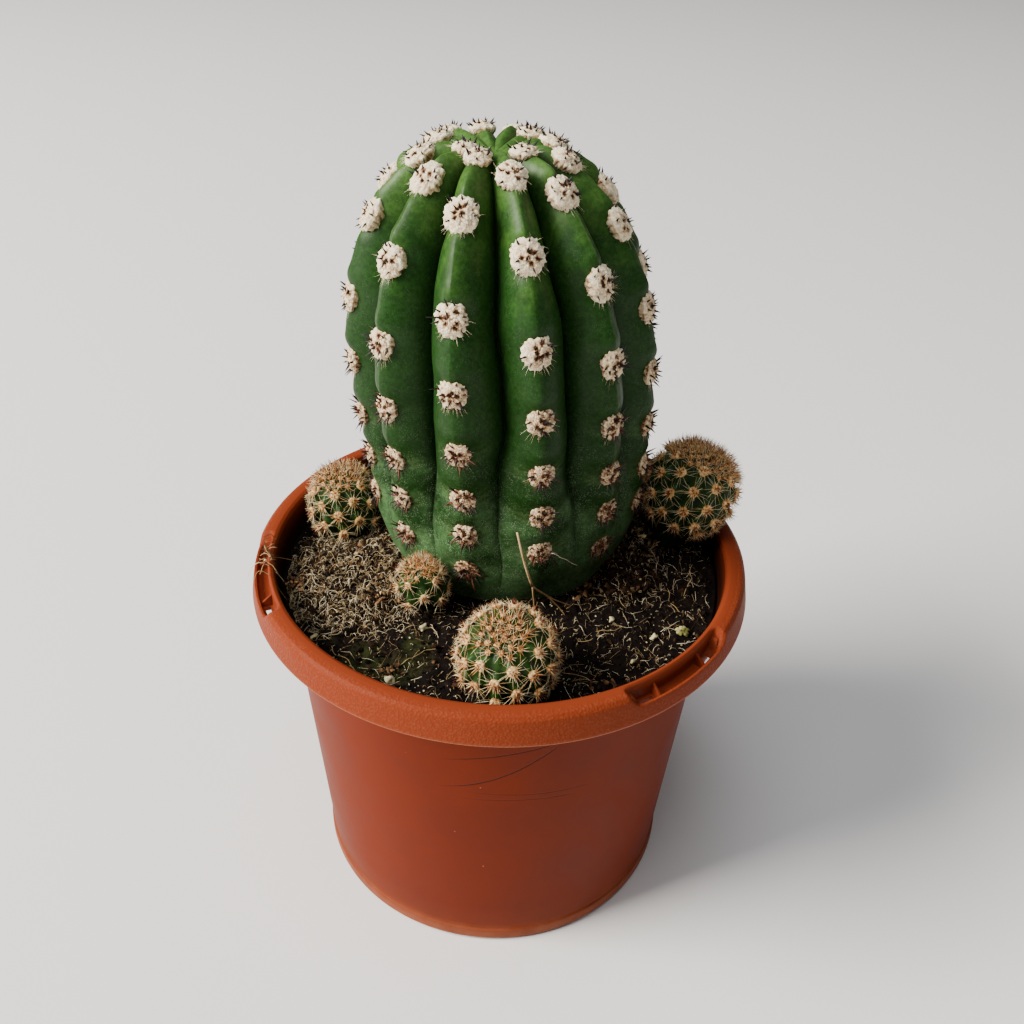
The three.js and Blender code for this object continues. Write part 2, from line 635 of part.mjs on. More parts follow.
// A tapered thread through points, with few sides
function thread(points, radius, sides) {
  const curve = new THREE.CatmullRomCurve3(points);
  const rings = points.length + 1;
  const ring = (index) => {
    const u = index / (rings - 1);
    const along = curve.getTangentAt(u);
    const side = Math.abs(along.z) > 0.8 ? new THREE.Vector3(1, 0, 0) : new THREE.Vector3(0, 0, 1);
    const b = new THREE.Vector3().crossVectors(along, side).normalize();
    const a = new THREE.Vector3().crossVectors(b, along).normalize();
    return { centre: curve.getPointAt(u), a, b, along };
  };
  const [first, last] = [ring(0), ring(rings - 1)];
  const start = first.centre.clone().addScaledVector(first.along, -radius);
  const end = last.centre.clone().addScaledVector(last.along, radius);
  return solidOf(ringedSkin(rings, sides, start, end, (index, sector) => {
    const { centre, a, b } = ring(index);
    const angle = (sector / sides) * TURN;
    const taper = radius * (1 - 0.4 * (index / (rings - 1)));
    return centre.clone()
      .addScaledVector(a, taper * Math.cos(angle))
      .addScaledVector(b, taper * Math.sin(angle));
  }));
}

// A mat's low core: a patch with an uneven outline that follows the soil
function matCore({ x, y, radiusX, radiusY, rise, core }, random) {
  const sectors = 12;
  const edge = Array.from({ length: sectors }, () => 0.82 + 0.3 * random());
  const levels = [[core, -2], [core, 0.4], [core * 0.6, 1]];
  const height = (px, py, share) => soilHeight(px, py) + (share < 0 ? share : share * rise);
  const ends = [new THREE.Vector3(x, y, height(x, y, -2)), new THREE.Vector3(x, y, height(x, y, 1.15))];
  return solidOf(ringedSkin(levels.length, sectors, ...ends, (ring, sector) => {
    const angle = (sector / sectors) * TURN;
    const [share, level] = levels[ring];
    const px = x + radiusX * share * edge[sector] * Math.cos(angle);
    const py = y + radiusY * share * edge[sector] * Math.sin(angle);
    return new THREE.Vector3(px, py, height(px, py, level));
  }));
}

// One dry fibre of a mat: it rises out of the core, arches and dips back
function matFibre({ x, y, radiusX, radiusY, rise, reach }, random) {
  const turn = random() * TURN;
  const share = Math.sqrt(random()) * 0.8;
  const heading = random() * TURN;
  const middle = [x + radiusX * share * Math.cos(turn), y + radiusY * share * Math.sin(turn)];
  const points = [-0.5, 0, 0.5].map((step) => {
    const px = middle[0] + step * reach * Math.cos(heading);
    const py = middle[1] + step * reach * Math.sin(heading);
    const lift = step === 0 ? rise + 0.6 + 1.2 * random() : 0.3;
    return new THREE.Vector3(px, py, soilHeight(px, py) + lift);
  });
  return thread(points, FIBRE_RADIUS * (0.9 + 0.4 * random()), 3);
}

// One crumb of husk and peat, on the slope of the mat's core
function matCrumb({ x, y, radiusX, radiusY, rise, core }, random) {
  const turn = random() * TURN;
  const share = core * (0.35 + 0.7 * random());
  const size = 1.6 + 1.6 * random();
  const [px, py] = [x + radiusX * share * Math.cos(turn), y + radiusY * share * Math.sin(turn)];
  const crumb = new THREE.IcosahedronGeometry(size, 0).scale(1.2, 0.8, 0.75);
  crumb.rotateZ(turn).rotateX(random());
  const level = soilHeight(px, py) + rise * (1.1 - 0.7 * (share / core) ** 2);
  return solidOf(crumb.translate(px, py, level));
}

// What litter is cut clear of: the soil below it, the stem and the offsets
const raisedSoil = soilBlock(GAP + GAP_EASE);
const raisedOffsets = OFFSETS.map((offset) => offsetSolid(offset, LITTER_GAP));
const clearance = [raisedSoil, mainStem(LITTER_GAP), ...raisedOffsets];

function makeMat(mat) {
  const random = seededRandom(mat.seed);
  const fibres = Array.from({ length: mat.strands }, () => matFibre(mat, random));
  const crumbs = Array.from({ length: mat.crumbs }, () => matCrumb(mat, random));
  const whole = wasm.Manifold.union([matCore(mat, random), ...fibres, ...crumbs]);
  return clearance.reduce((left, neighbour) => left.subtract(neighbour), whole).simplify(2 * SCRAP);
}

function vectors(points) {
  return points.map((point) => new THREE.Vector3(...point));
}

function makeTwig() {
  const legs = TWIG_LEGS.map((points) => thread(vectors(points), TWIG_RADIUS * 0.6, 3));
  const stalk = thread(vectors(TWIG_STALK), TWIG_RADIUS, 4);
  return wasm.Manifold.union([stalk, ...legs]).subtract(raisedSoil).simplify(SCRAP);
}

function makeRootlet({ x, y, turn, length }) {
  const points = [-0.5, -0.15, 0.2, 0.5].map((step, index) => {
    const bend = (index % 2 ? 1 : -1) * length * 0.07;
    const px = x + step * length * Math.cos(turn * RAD) - bend * Math.sin(turn * RAD);
    const py = y + step * length * Math.sin(turn * RAD) + bend * Math.cos(turn * RAD);
    return new THREE.Vector3(px, py, soilHeight(px, py) + GAP + FIBRE_RADIUS);
  });
  return thread(points, FIBRE_RADIUS, 3).subtract(raisedSoil);
}

function makeGrain({ x, y, size }) {
  const grain = new THREE.IcosahedronGeometry(size, 0).scale(1, 0.85, 0.75);
  return solidOf(grain.translate(x, y, soilHeight(x, y) + GAP + size * 0.5)).subtract(raisedSoil);
}

function makeSeedling({ x, y, leaves, reach }) {
  const base = soilHeight(x, y);
  const heart = new THREE.IcosahedronGeometry(reach * 0.6, 0).translate(x, y, base + reach * 0.45);
  const parts = [solidOf(heart)];
  for (let leaf = 0; leaf < leaves; leaf += 1) {
    const angle = (leaf / leaves) * TURN;
    const blade = new THREE.OctahedronGeometry(reach * 0.55, 0).scale(1.4, 0.7, 0.45);
    blade.rotateY(-0.5).translate(reach * 0.75, 0, reach * 0.8).rotateZ(angle);
    parts.push(solidOf(blade.translate(x, y, base)));
  }
  return wasm.Manifold.union(parts).subtract(raisedSoil);
}

// The soil with a plain hole for the stem's base and for each offset's foot
function makeSoil() {
  const holes = [stemHole(), ...OFFSETS.map(offsetHole)];
  return holes.reduce((left, hole) => left.subtract(hole), soilBlock(0));
}

const part = new THREE.Group();
part.add(makePot());
part.add(namedMesh('soil', makeSoil(), PEAT));
part.add(namedMesh('main_stem', mainStem(0), GREEN_SKIN));
for (const offset of OFFSETS) part.add(namedMesh(offset.name, offsetSolid(offset, 0), YOUNG_SKIN));
for (const mat of MATS) {
  part.add(namedMesh(mat.name, makeMat(mat), mat.name === 'litter_right' ? CRUMBS : DRY_FIBRE));
}
part.add(namedMesh('twig', makeTwig(), DRY_WOOD));
ROOTLETS.forEach((rootlet, index) => {
  part.add(namedMesh(`rootlet_${index + 1}`, makeRootlet(rootlet), DRY_FIBRE));
});
GRAINS.forEach((grain, index) => {
  part.add(namedMesh(`grain_${index + 1}`, makeGrain(grain), PALE_GRAIN));
});
part.add(namedMesh('seedling', makeSeedling(SEEDLING), SPROUT_GREEN));

export default part;
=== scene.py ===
"""A potted columnar cactus with four offsets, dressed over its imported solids.

Every size in this file is in millimetres unless its name says otherwise, and every mesh is turned
into metres when it is made. The origin is the middle of the pot's underside, +Z is up and -Y faces
the viewer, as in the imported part.
"""
from __future__ import annotations

import itertools
import logging
import math
from dataclasses import dataclass, field
from enum import Enum
from functools import partial
from typing import Any, Optional, Sequence

import bmesh
import bpy
import numpy as np
from mathutils import Matrix


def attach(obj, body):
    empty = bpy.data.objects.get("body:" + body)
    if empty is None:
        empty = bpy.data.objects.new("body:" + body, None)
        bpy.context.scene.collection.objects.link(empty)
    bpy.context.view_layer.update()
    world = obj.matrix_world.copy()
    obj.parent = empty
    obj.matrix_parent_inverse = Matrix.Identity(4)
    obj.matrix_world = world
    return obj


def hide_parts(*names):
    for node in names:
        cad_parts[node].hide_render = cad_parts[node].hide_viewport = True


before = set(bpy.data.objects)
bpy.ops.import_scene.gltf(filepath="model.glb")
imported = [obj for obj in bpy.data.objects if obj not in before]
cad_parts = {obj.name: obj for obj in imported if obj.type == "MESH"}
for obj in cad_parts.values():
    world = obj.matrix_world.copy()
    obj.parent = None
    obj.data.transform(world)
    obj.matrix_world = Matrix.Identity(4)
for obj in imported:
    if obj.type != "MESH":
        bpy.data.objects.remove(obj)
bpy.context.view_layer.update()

log = logging.getLogger("cactus")
Array = np.ndarray
MM = 0.001
TURN = 2.0 * math.pi
GOLDEN_TURN = TURN * 0.381966
SOIL_LEVEL = 105.0
SOIL_RADIUS = 66.1
CELL_HASH = (73856093, 19349663, 83492791)
SEED_HASH = 2654435761
MIX_HASH = 1274126177
LOW_BITS = 0xFFFFFFFF


class Slot(Enum):
    """The record's material slots."""

    PLASTIC = "terracotta_plastic"
    PEAT = "peat_soil"
    STEM = "stem_skin"
    OFFSET = "offset_skin"
    WOOL = "areole_wool"
    DARK = "dark_spine"
    PALE = "pale_spine"
    FIBRE = "dry_fibre"
    HUSK = "husk_crumbs"
    WOOD = "dry_wood"
    GRAIN = "pale_grain"
    SPROUT = "sprout_green"


# ---- numbers and noise


def smooth(value: Array) -> Array:
    """Ease from 0 to 1: 3t squared less 2t cubed, held flat outside that range."""
    part = np.clip(value, 0.0, 1.0)
    return part * part * (3.0 - 2.0 * part)


def lattice_noise(points: Array, size: float, seed: int) -> Array:
    """Smooth random values on a cubic lattice, blended between its corners.

    Args:
        points: Places to read, as (..., 3).
        size: Edge of a lattice cell.
        seed: Choice of the random values.

    Returns:
        One value from -1 to 1 for each place.
    """
    scaled = points / size
    base = np.floor(scaled).astype(np.int64)
    part = scaled - base
    part = part * part * (3.0 - 2.0 * part)
    total = np.zeros(points.shape[:-1])
    for corner in itertools.product((0, 1), repeat=3):
        cell = base + np.array(corner)
        mixed = np.bitwise_xor.reduce(cell * np.array(CELL_HASH), axis=-1)
        mixed = (mixed ^ seed * SEED_HASH) & LOW_BITS
        mixed = ((mixed ^ (mixed >> 13)) * MIX_HASH) & LOW_BITS
        value = (mixed ^ (mixed >> 16)) / LOW_BITS * 2.0 - 1.0
        weight = np.prod(np.where(np.array(corner) == 1, part, 1.0 - part), axis=-1)
        total += value * weight
    return total


def drifted(points: Array, size: float, seed: int) -> Array:
    """Smooth random shifts in three directions, one lattice noise for each."""
    return np.stack([lattice_noise(points, size, seed + axis) for axis in range(3)], -1)


def rough_noise(points: Array, sizes: Sequence[float], seed: int) -> Array:
    """Several lattice noises added, each finer one half as strong as the one before."""
    return sum(lattice_noise(points, size, seed + step) * 0.5**step for step, size in enumerate(sizes))


def unit(vectors: Array) -> Array:
    """Vectors brought to length 1."""
    return vectors / np.maximum(np.linalg.norm(vectors, axis=-1, keepdims=True), 1e-12)


class Outline:
    """A smooth curve through [radius, height] points, read by its length from the first point."""

    def __init__(self, points: Sequence[Sequence[float]], samples: int = 96) -> None:
        """Sample the cubic through each pair of points, with slopes from their neighbours.

        Args:
            points: The curve's points, as radius and height.
            samples: Samples between two points.
        """
        knots = np.asarray(points, float)
        ends = np.vstack([knots[:1], knots, knots[-1:]])
        t = np.linspace(0.0, 1.0, samples, endpoint=False)[:, None]
        runs = []
        for first in range(len(knots) - 1):
            before, start, end, after = ends[first:first + 4]
            slope_in, slope_out = (end - before) / 2.0, (after - start) / 2.0
            cubic = 2.0 * start - 2.0 * end + slope_in + slope_out
            square = -3.0 * start + 3.0 * end - 2.0 * slope_in - slope_out
            runs.append(cubic * t**3 + square * t**2 + slope_in * t + start)
        self.dense = np.vstack([*runs, knots[-1:]])
        steps = np.linalg.norm(np.diff(self.dense, axis=0), axis=1)
        self.lengths = np.concatenate([[0.0], np.cumsum(steps)])
        self.length = float(self.lengths[-1])
        self.tangents = unit(np.gradient(self.dense, self.lengths, axis=0))

    def at(self, along: Array) -> tuple[Array, Array, Array, Array]:
        """Radius and height at a length along the curve, with the outward direction there.

        Args:
            along: Lengths from the first point.

        Returns:
            Radius, height and the direction's two parts.
        """
        read = [np.interp(along, self.lengths, column) for column in (*self.dense.T, *self.tangents.T)]
        radius, height, tangent_r, tangent_z = read
        return radius, height, -tangent_z, tangent_r


def ground(x: Array, y: Array) -> Array:
    """Points at height 0 at places on the plan."""
    return np.stack([x, y, np.zeros_like(x)], -1)


def off_wall(x: Array, y: Array, gap: float) -> tuple[Array, Array]:
    """Places drawn in towards the pot's axis until they are a gap clear of its wall."""
    shrink = np.minimum(1.0, (SOIL_RADIUS - gap) / np.hypot(x, y))
    return x * shrink, y * shrink


def each_point(tone: Array, points: Array) -> Array:
    """The tone of each of many equal things, held from 0 to 1, at all of its points."""
    return np.repeat(np.clip(tone, 0.0, 1.0), len(points) // len(tone))


# ---- meshes


def grid_faces(rows: int, columns: int) -> Array:
    """Quads of a grid of rings that run anticlockwise and stand one over the other, facing outward.

    Args:
        rows: Rings of points.
        columns: Points in a ring.

    Returns:
        One row of four point indices for each quad.
    """
    row, column = np.meshgrid(np.arange(rows - 1), np.arange(columns), indexing="ij")
    after = (column + 1) % columns
    low, high = row * columns, (row + 1) * columns
    return np.stack([low + column, low + after, high + after, high + column], -1).reshape(-1, 4)


def capped_grid(points: Array, bottom: Array, top: Array) -> tuple[Array, list[Array]]:
    """A closed skin: a grid of rings, as (rows, columns, 3), with a point that closes each end.

    Args:
        points: The grid.
        bottom: The point that closes the first ring.
        top: The point that closes the last ring.

    Returns:
        The points, and the quads and end triangles.
    """
    rows, columns = points.shape[:2]
    flat = np.vstack([points.reshape(-1, 3), bottom, top])
    around = np.arange(columns)
    after = (around + 1) % columns
    low = np.stack([np.full(columns, rows * columns), after, around], -1)
    last = (rows - 1) * columns
    high = np.stack([np.full(columns, rows * columns + 1), last + around, last + after], -1)
    return flat, [grid_faces(rows, columns), low, high]


def make_piece(
    name: str,
    points: Array,
    faces: Sequence[Array],
    masks: Optional[dict[str, Array]] = None,
    is_smooth: bool = True,
) -> bpy.types.Object:
    """A mesh object at the origin, from points in millimetres.

    Args:
        name: The piece's name.
        points: Points as (n, 3).
        faces: Arrays of point indices, one row for each face.
        masks: Values from 0 to 1 at the points, by name, which the finishes read.
        is_smooth: Whether the faces are shaded smooth.

    Returns:
        The new object, linked to the scene.
    """
    mesh = bpy.data.meshes.new(name)
    corners = np.concatenate([part.ravel() for part in faces]).astype(np.int32)
    counts = np.concatenate([np.full(len(part), part.shape[1]) for part in faces])
    starts = np.concatenate([[0], np.cumsum(counts)[:-1]]).astype(np.int32)
    mesh.vertices.add(len(points))
    mesh.vertices.foreach_set("co", (np.asarray(points, float) * MM).ravel().astype(np.float32))
    mesh.loops.add(len(corners))
    mesh.loops.foreach_set("vertex_index", corners)
    mesh.polygons.add(len(starts))
    mesh.polygons.foreach_set("loop_start", starts)
    mesh.polygons.foreach_set("use_smooth", np.full(len(starts), is_smooth))
    mesh.update(calc_edges=True)
    mesh.validate()
    for mask, values in (masks or {}).items():
        layer = mesh.attributes.new(mask, "FLOAT", "POINT")
        layer.data.foreach_set("value", np.broadcast_to(values, len(points)).astype(np.float32).ravel())
    piece = bpy.data.objects.new(name, mesh)
    bpy.context.scene.collection.objects.link(piece)
    return piece


def finish_piece(
    piece: bpy.types.Object, material: bpy.types.Material, nodes: Sequence[str] = ()
) -> None:
    """Dress a piece, tie it to the part and report it.

    Args:
        piece: The piece.
        material: Its finish.
        nodes: Nodes of the part that it stands for.
    """
    piece.data.materials.append(material)
    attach(piece, "root")
    if nodes:
        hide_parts(*nodes)
    log.info("%s: %d points", piece.name, len(piece.data.vertices))


def strands(paths: Array, radii: Array, sides: int) -> tuple[Array, list[Array]]:
    """Closed tubes along many paths at once.

    Each ring lies across its path; two directions square to the path carry the circle.

    Args:
        paths: Points of the paths, as (strands, steps, 3).
        radii: Radius at each step, as (strands, steps).
        sides: Sides of a tube.

    Returns:
        The points, and the quads and end triangles.
    """
    count, steps = paths.shape[:2]
    tangents = unit(np.gradient(paths, axis=1))
    overall = unit(paths[:, -1] - paths[:, 0])
    helper = np.where(np.abs(overall[:, 2:3]) > 0.8, np.array([[1.0, 0.0, 0.0]]), np.array([[0.0, 0.0, 1.0]]))
    across = unit(np.cross(helper[:, None], tangents))
    lift = np.cross(tangents, across)
    angle = np.arange(sides) * TURN / sides
    circle = across[:, :, None] * np.cos(angle)[:, None] + lift[:, :, None] * np.sin(angle)[:, None]
    rings = paths[:, :, None] + circle * radii[:, :, None, None]
    block = np.concatenate([rings.reshape(count, -1, 3), paths[:, :1], paths[:, -1:]], axis=1)
    size = steps * sides + 2
    around = np.arange(sides)
    after = (around + 1) % sides
    low = np.stack([np.full(sides, size - 2), after, around], -1)
    high = np.stack([np.full(sides, size - 1), (steps - 1) * sides + around, (steps - 1) * sides + after], -1)
    faces = repeated([grid_faces(steps, sides), np.vstack([low, high])], count, size)
    return block.reshape(-1, 3), faces


def repeated(faces: Sequence[Array], count: int, size: int) -> list[Array]:
    """The faces of one block of points, repeated for blocks that follow each other.

    Args:
        faces: Faces of the first block.
        count: Number of blocks.
        size: Points in a block.

    Returns:
        The faces of all the blocks.
    """
    shift = (np.arange(count) * size)[:, None, None]
    return [(part[None] + shift).reshape(-1, part.shape[1]) for part in faces]


def lump_template(detail: int) -> tuple[Array, Array]:
    """Points and triangles of a ball of near-even triangles, of radius 1.

    Args:
        detail: How often the ball's triangles are divided.

    Returns:
        The points, and the triangles' point indices.
    """
    ball = bmesh.new()
    bmesh.ops.create_icosphere(ball, subdivisions=detail, radius=1.0)
    points = np.array([vertex.co[:] for vertex in ball.verts])
    triangles = np.array([[vertex.index for vertex in face.verts] for face in ball.faces])
    ball.free()
    return points, triangles


def lumps(
    centres: Array, frames: Array, radii: Array, roughness: float, detail: int, seed: int
) -> tuple[Array, list[Array]]:
    """Many uneven lumps: a ball stretched along each frame's axes and pushed in and out by noise.

    Args:
        centres: Middles, as (n, 3).
        frames: Three axes for each, in rows, as (n, 3, 3).
        radii: Half sizes along the axes, as (n, 3).
        roughness: Share of the radius that the noise moves a point by.
        detail: Fineness of the ball.
        seed: Choice of the noise.

    Returns:
        The points and the triangles.
    """
    ball, triangles = lump_template(detail)
    offsets = np.arange(len(centres))[:, None, None] * 7.31
    swell = 1.0 + roughness * lattice_noise(ball[None] * 1.4 + offsets, 1.0, seed)
    local = ball[None] * swell[..., None] * radii[:, None]
    points = centres[:, None] + np.einsum("nvi,nij->nvj", local, frames)
    return points.reshape(-1, 3), repeated([triangles], len(centres), len(ball))


def turned_frames(count: int, rng: np.random.Generator, tilt: float = 0.35) -> Array:
    """Random frames for things that lie on the soil.

    Args:
        count: Number of frames.
        rng: Source of the random turns.
        tilt: How far they lean; 0 is upright.

    Returns:
        East, north and out of each, in rows.
    """
    out = unit(np.stack([*rng.normal(0.0, tilt, (2, count)), np.ones(count)], -1))
    turn = rng.uniform(0.0, TURN, count)
    east = np.stack([np.cos(turn), np.sin(turn), np.zeros(count)], -1)
    east = unit(east - out * (east * out).sum(-1, keepdims=True))
    return np.stack([east, np.cross(out, east), out], axis=1)


def joined(parts: Sequence[tuple[Array, list[Array]]]) -> tuple[Array, list[Array]]:
    """Several sets of points and faces as one set.

    Args:
        parts: Points and faces of each set.

    Returns:
        The points and the faces.
    """
    points, faces, first = [], [], 0
    for part_points, part_faces in parts:
        points.append(part_points)
        faces += [face + first for face in part_faces]
        first += len(part_points)
    return np.vstack(points), faces


# ---- finishes


def linear(hex_colour: str) -> tuple[float, float, float, float]:
    """An sRGB hex colour as the linear values that shaders take.

    Args:
        hex_colour: The colour, as #rrggbb.

    Returns:
        Red, green, blue and full opacity.
    """
    parts = [int(hex_colour[index:index + 2], 16) / 255.0 for index in (1, 3, 5)]
    red, green, blue = [v / 12.92 if v <= 0.04045 else ((v + 0.055) / 1.055) ** 2.4 for v in parts]
    return red, green, blue, 1.0


def feed(tree: bpy.types.NodeTree, node: bpy.types.Node, inputs: dict[Any, Any]) -> None:
    """Set a node's inputs.

    Args:
        tree: The node tree.
        node: The node.
        inputs: Socket name or number to a value, a socket, or a node whose first output feeds it.
    """
    for key, value in inputs.items():
        if isinstance(value, bpy.types.Node):
            value = next(socket for socket in value.outputs if socket.enabled)
        if isinstance(value, bpy.types.NodeSocket):
            tree.links.new(value, node.inputs[key])
        else:
            node.inputs[key].default_value = value


def add_node(
    tree: bpy.types.NodeTree,
    kind: str,
    inputs: Optional[dict[Any, Any]] = None,
    stops: Sequence[tuple[float, str]] = (),
    **settings: Any,
) -> bpy.types.Node:
    """Add a shader node with its settings, its values or links, and its ramp's stops.

    Args:
        tree: The node tree.
        kind: The node's type name.
        inputs: What its sockets get, as feed takes it.
        stops: Positions and hex colours of a colour ramp.
        settings: Properties of the node.

    Returns:
        The new node.
    """
    node = tree.nodes.new("ShaderNode" + kind)
    for key, value in settings.items():
        setattr(node, key, value)
    for index, (position, colour) in enumerate(stops):
        elements = node.color_ramp.elements
        element = elements[index] if index < len(elements) else elements.new(position)
        element.position, element.color = position, linear(colour)
    feed(tree, node, inputs or {})
    return node


def blank_material(name: str) -> tuple[bpy.types.Material, bpy.types.NodeTree, bpy.types.Node]:
    """A new material with its node tree and its surface shader.

    Args:
        name: The material's name.

    Returns:
        The material, its node tree and its shader.
    """
    material = bpy.data.materials.new(name)
    material.use_nodes = True
    tree = material.node_tree
    return material, tree, tree.nodes["Principled BSDF"]


@dataclass(frozen=True)
class WaxySkin:
    """Living cactus epidermis under a thin coat of wax: green, satin, with fine pale stomata.

    The wax gives soft broad highlights; towards the foot of an old stem the skin is lighter and bluish.
    """

    name: str
    young: str
    mature: str
    old: str
    foot: str
    # groove: painted shade, the dark green laid into the grooves and between the knobs
    groove: str
    # line: painted highlight, the pale green laid along the crests, the crease edges and the offsets' knobs
    line: str
    stomata: str = "#a3b897"
    roughness: float = 0.42
    speck_mm: float = 0.46  # spacing of groups of stomata; single ones are too fine to show
    mottle_mm: float = 9.0  # clouds of lighter and darker green
    patch_mm: float = 3.1  # patches where the groups are dense
    pore_mm: float = 1.1  # grain of the green, drawn coarser than the cells
    bump_mm: float = 0.25

    def make(self) -> bpy.types.Material:
        """Build the material from the skin's masks and its own position.

        Returns:
            The material.
        """
        material, tree, shader = blank_material(self.name)
        add = partial(add_node, tree)
        place = add("TexCoord").outputs["Object"]
        masks = {key: add("Attribute", attribute_name=key).outputs["Fac"]
                 for key in ("age", "groove", "line", "dust")}
        mottle = add("TexNoise", {"Vector": place, "Scale": 1 / (self.mottle_mm * MM), "Detail": 5.0,
                                  "Roughness": 0.6})
        drift = add("MapRange", {"Value": mottle, "From Min": 0.3, "From Max": 0.7,
                                 "To Min": -0.12, "To Max": 0.12})
        aged = add("Math", {0: masks["age"], 1: drift}, operation="ADD", use_clamp=True)
        ramp = add("ValToRGB", {0: aged},
                   stops=[(0.0, self.young), (0.24, self.mature), (0.84, self.old), (1.0, self.foot)])
        # Painted shade: the groove colour darkens the skin where the groove mask is high.
        shaded = add("Mix", {0: masks["groove"], 6: ramp, 7: linear(self.groove)}, data_type="RGBA")
        # Painted highlight: the line colour lightens the crests, the crease edges and the knobs.
        highlighted = add("Mix", {0: masks["line"], 6: shaded, 7: linear(self.line)}, data_type="RGBA")
        cells = add("TexVoronoi", {"Vector": place, "Scale": 1 / (self.speck_mm * MM)})
        dots = add("MapRange", {"Value": cells, "From Min": 0.12, "From Max": 0.42,
                                "To Min": 1.0, "To Max": 0.0})
        patchy = add("TexNoise", {"Vector": place, "Scale": 1 / (self.patch_mm * MM), "Detail": 3.0})
        gate = add("MapRange", {"Value": patchy, "From Min": 0.36, "From Max": 0.64})
        seen = add("Math", {0: dots, 1: gate}, operation="MULTIPLY")
        faint = add("Math", {0: masks["dust"], 1: 0.6, 2: 0.08}, operation="MULTIPLY_ADD")
        specks = add("Math", {0: seen, 1: faint}, operation="MULTIPLY")
        pores = add("TexNoise", {"Vector": place, "Scale": 1 / (self.pore_mm * MM), "Detail": 2.0})
        grain = add("MapRange", {"Value": pores, "From Min": 0.35, "From Max": 0.65,
                                 "To Min": 0.8, "To Max": 1.24})
        grained = add("Mix", {0: 1.0, 6: highlighted, 7: grain}, data_type="RGBA", blend_type="MULTIPLY")
        colour = add("Mix", {0: specks, 6: grained, 7: linear(self.stomata)}, data_type="RGBA")
        wax = add("MapRange", {"Value": mottle, "From Min": 0.3, "From Max": 0.7,
                               "To Min": self.roughness - 0.06, "To Max": self.roughness + 0.1})
        relief = add("Math", {0: seen, 1: 0.3, 2: mottle}, operation="MULTIPLY_ADD")
        bump = add("Bump", {"Height": relief, "Strength": 0.3, "Distance": self.bump_mm * MM})
        sheen = add("MapRange", {"Value": masks["age"], "From Max": 0.8, "To Min": 0.26, "To Max": 0.1})
        feed(tree, shader, {"Base Color": colour, "Roughness": wax, "Specular IOR Level": sheen,
                            "Normal": bump, "IOR": 1.45})
        return material


@dataclass(frozen=True)
class Fibrous:
    """Dry plant matter, such as wool, spine, root or husk: matte, toned strand by strand.

    The tone mask runs from the first colour to the last, and a fine noise breaks it up.
    """

    name: str
    colours: tuple[str, ...]
    roughness: float = 0.85
    grain_mm: float = 0.7  # bundles of fibre; single ones are too fine to show
    drift: float = 0.2
    bump_mm: float = 0.15
    sheen: float = 0.0
    gloss: float = 0.12

    def make(self) -> bpy.types.Material:
        """Build the material from the tone mask and a fine noise.

        Returns:
            The material.
        """
        material, tree, shader = blank_material(self.name)
        add = partial(add_node, tree)
        place = add("TexCoord").outputs["Object"]
        tone = add("Attribute", attribute_name="tone").outputs["Fac"]
        noise = add("TexNoise", {"Vector": place, "Scale": 1 / (self.grain_mm * MM), "Detail": 3.0})
        drift = add("MapRange", {"Value": noise, "From Min": 0.3, "From Max": 0.7,
                                 "To Min": -self.drift, "To Max": self.drift})
        mixed = add("Math", {0: tone, 1: drift}, operation="ADD", use_clamp=True)
        last = len(self.colours) - 1
        stops = [(index / last, colour) for index, colour in enumerate(self.colours)]
        ramp = add("ValToRGB", {0: mixed}, stops=stops)
        bump = add("Bump", {"Height": noise, "Strength": 0.9, "Distance": self.bump_mm * MM})
        feed(tree, shader, {"Base Color": ramp, "Normal": bump, "Roughness": self.roughness,
                            "Sheen Weight": self.sheen, "Specular IOR Level": self.gloss})
        return material


@dataclass(frozen=True)
class Scuff:
    """A long shallow mark on the front wall: z = a + b x + c x squared, in millimetres."""

    a: float
    b: float
    c: float
    left: float
    right: float
    width: float
    strength: float


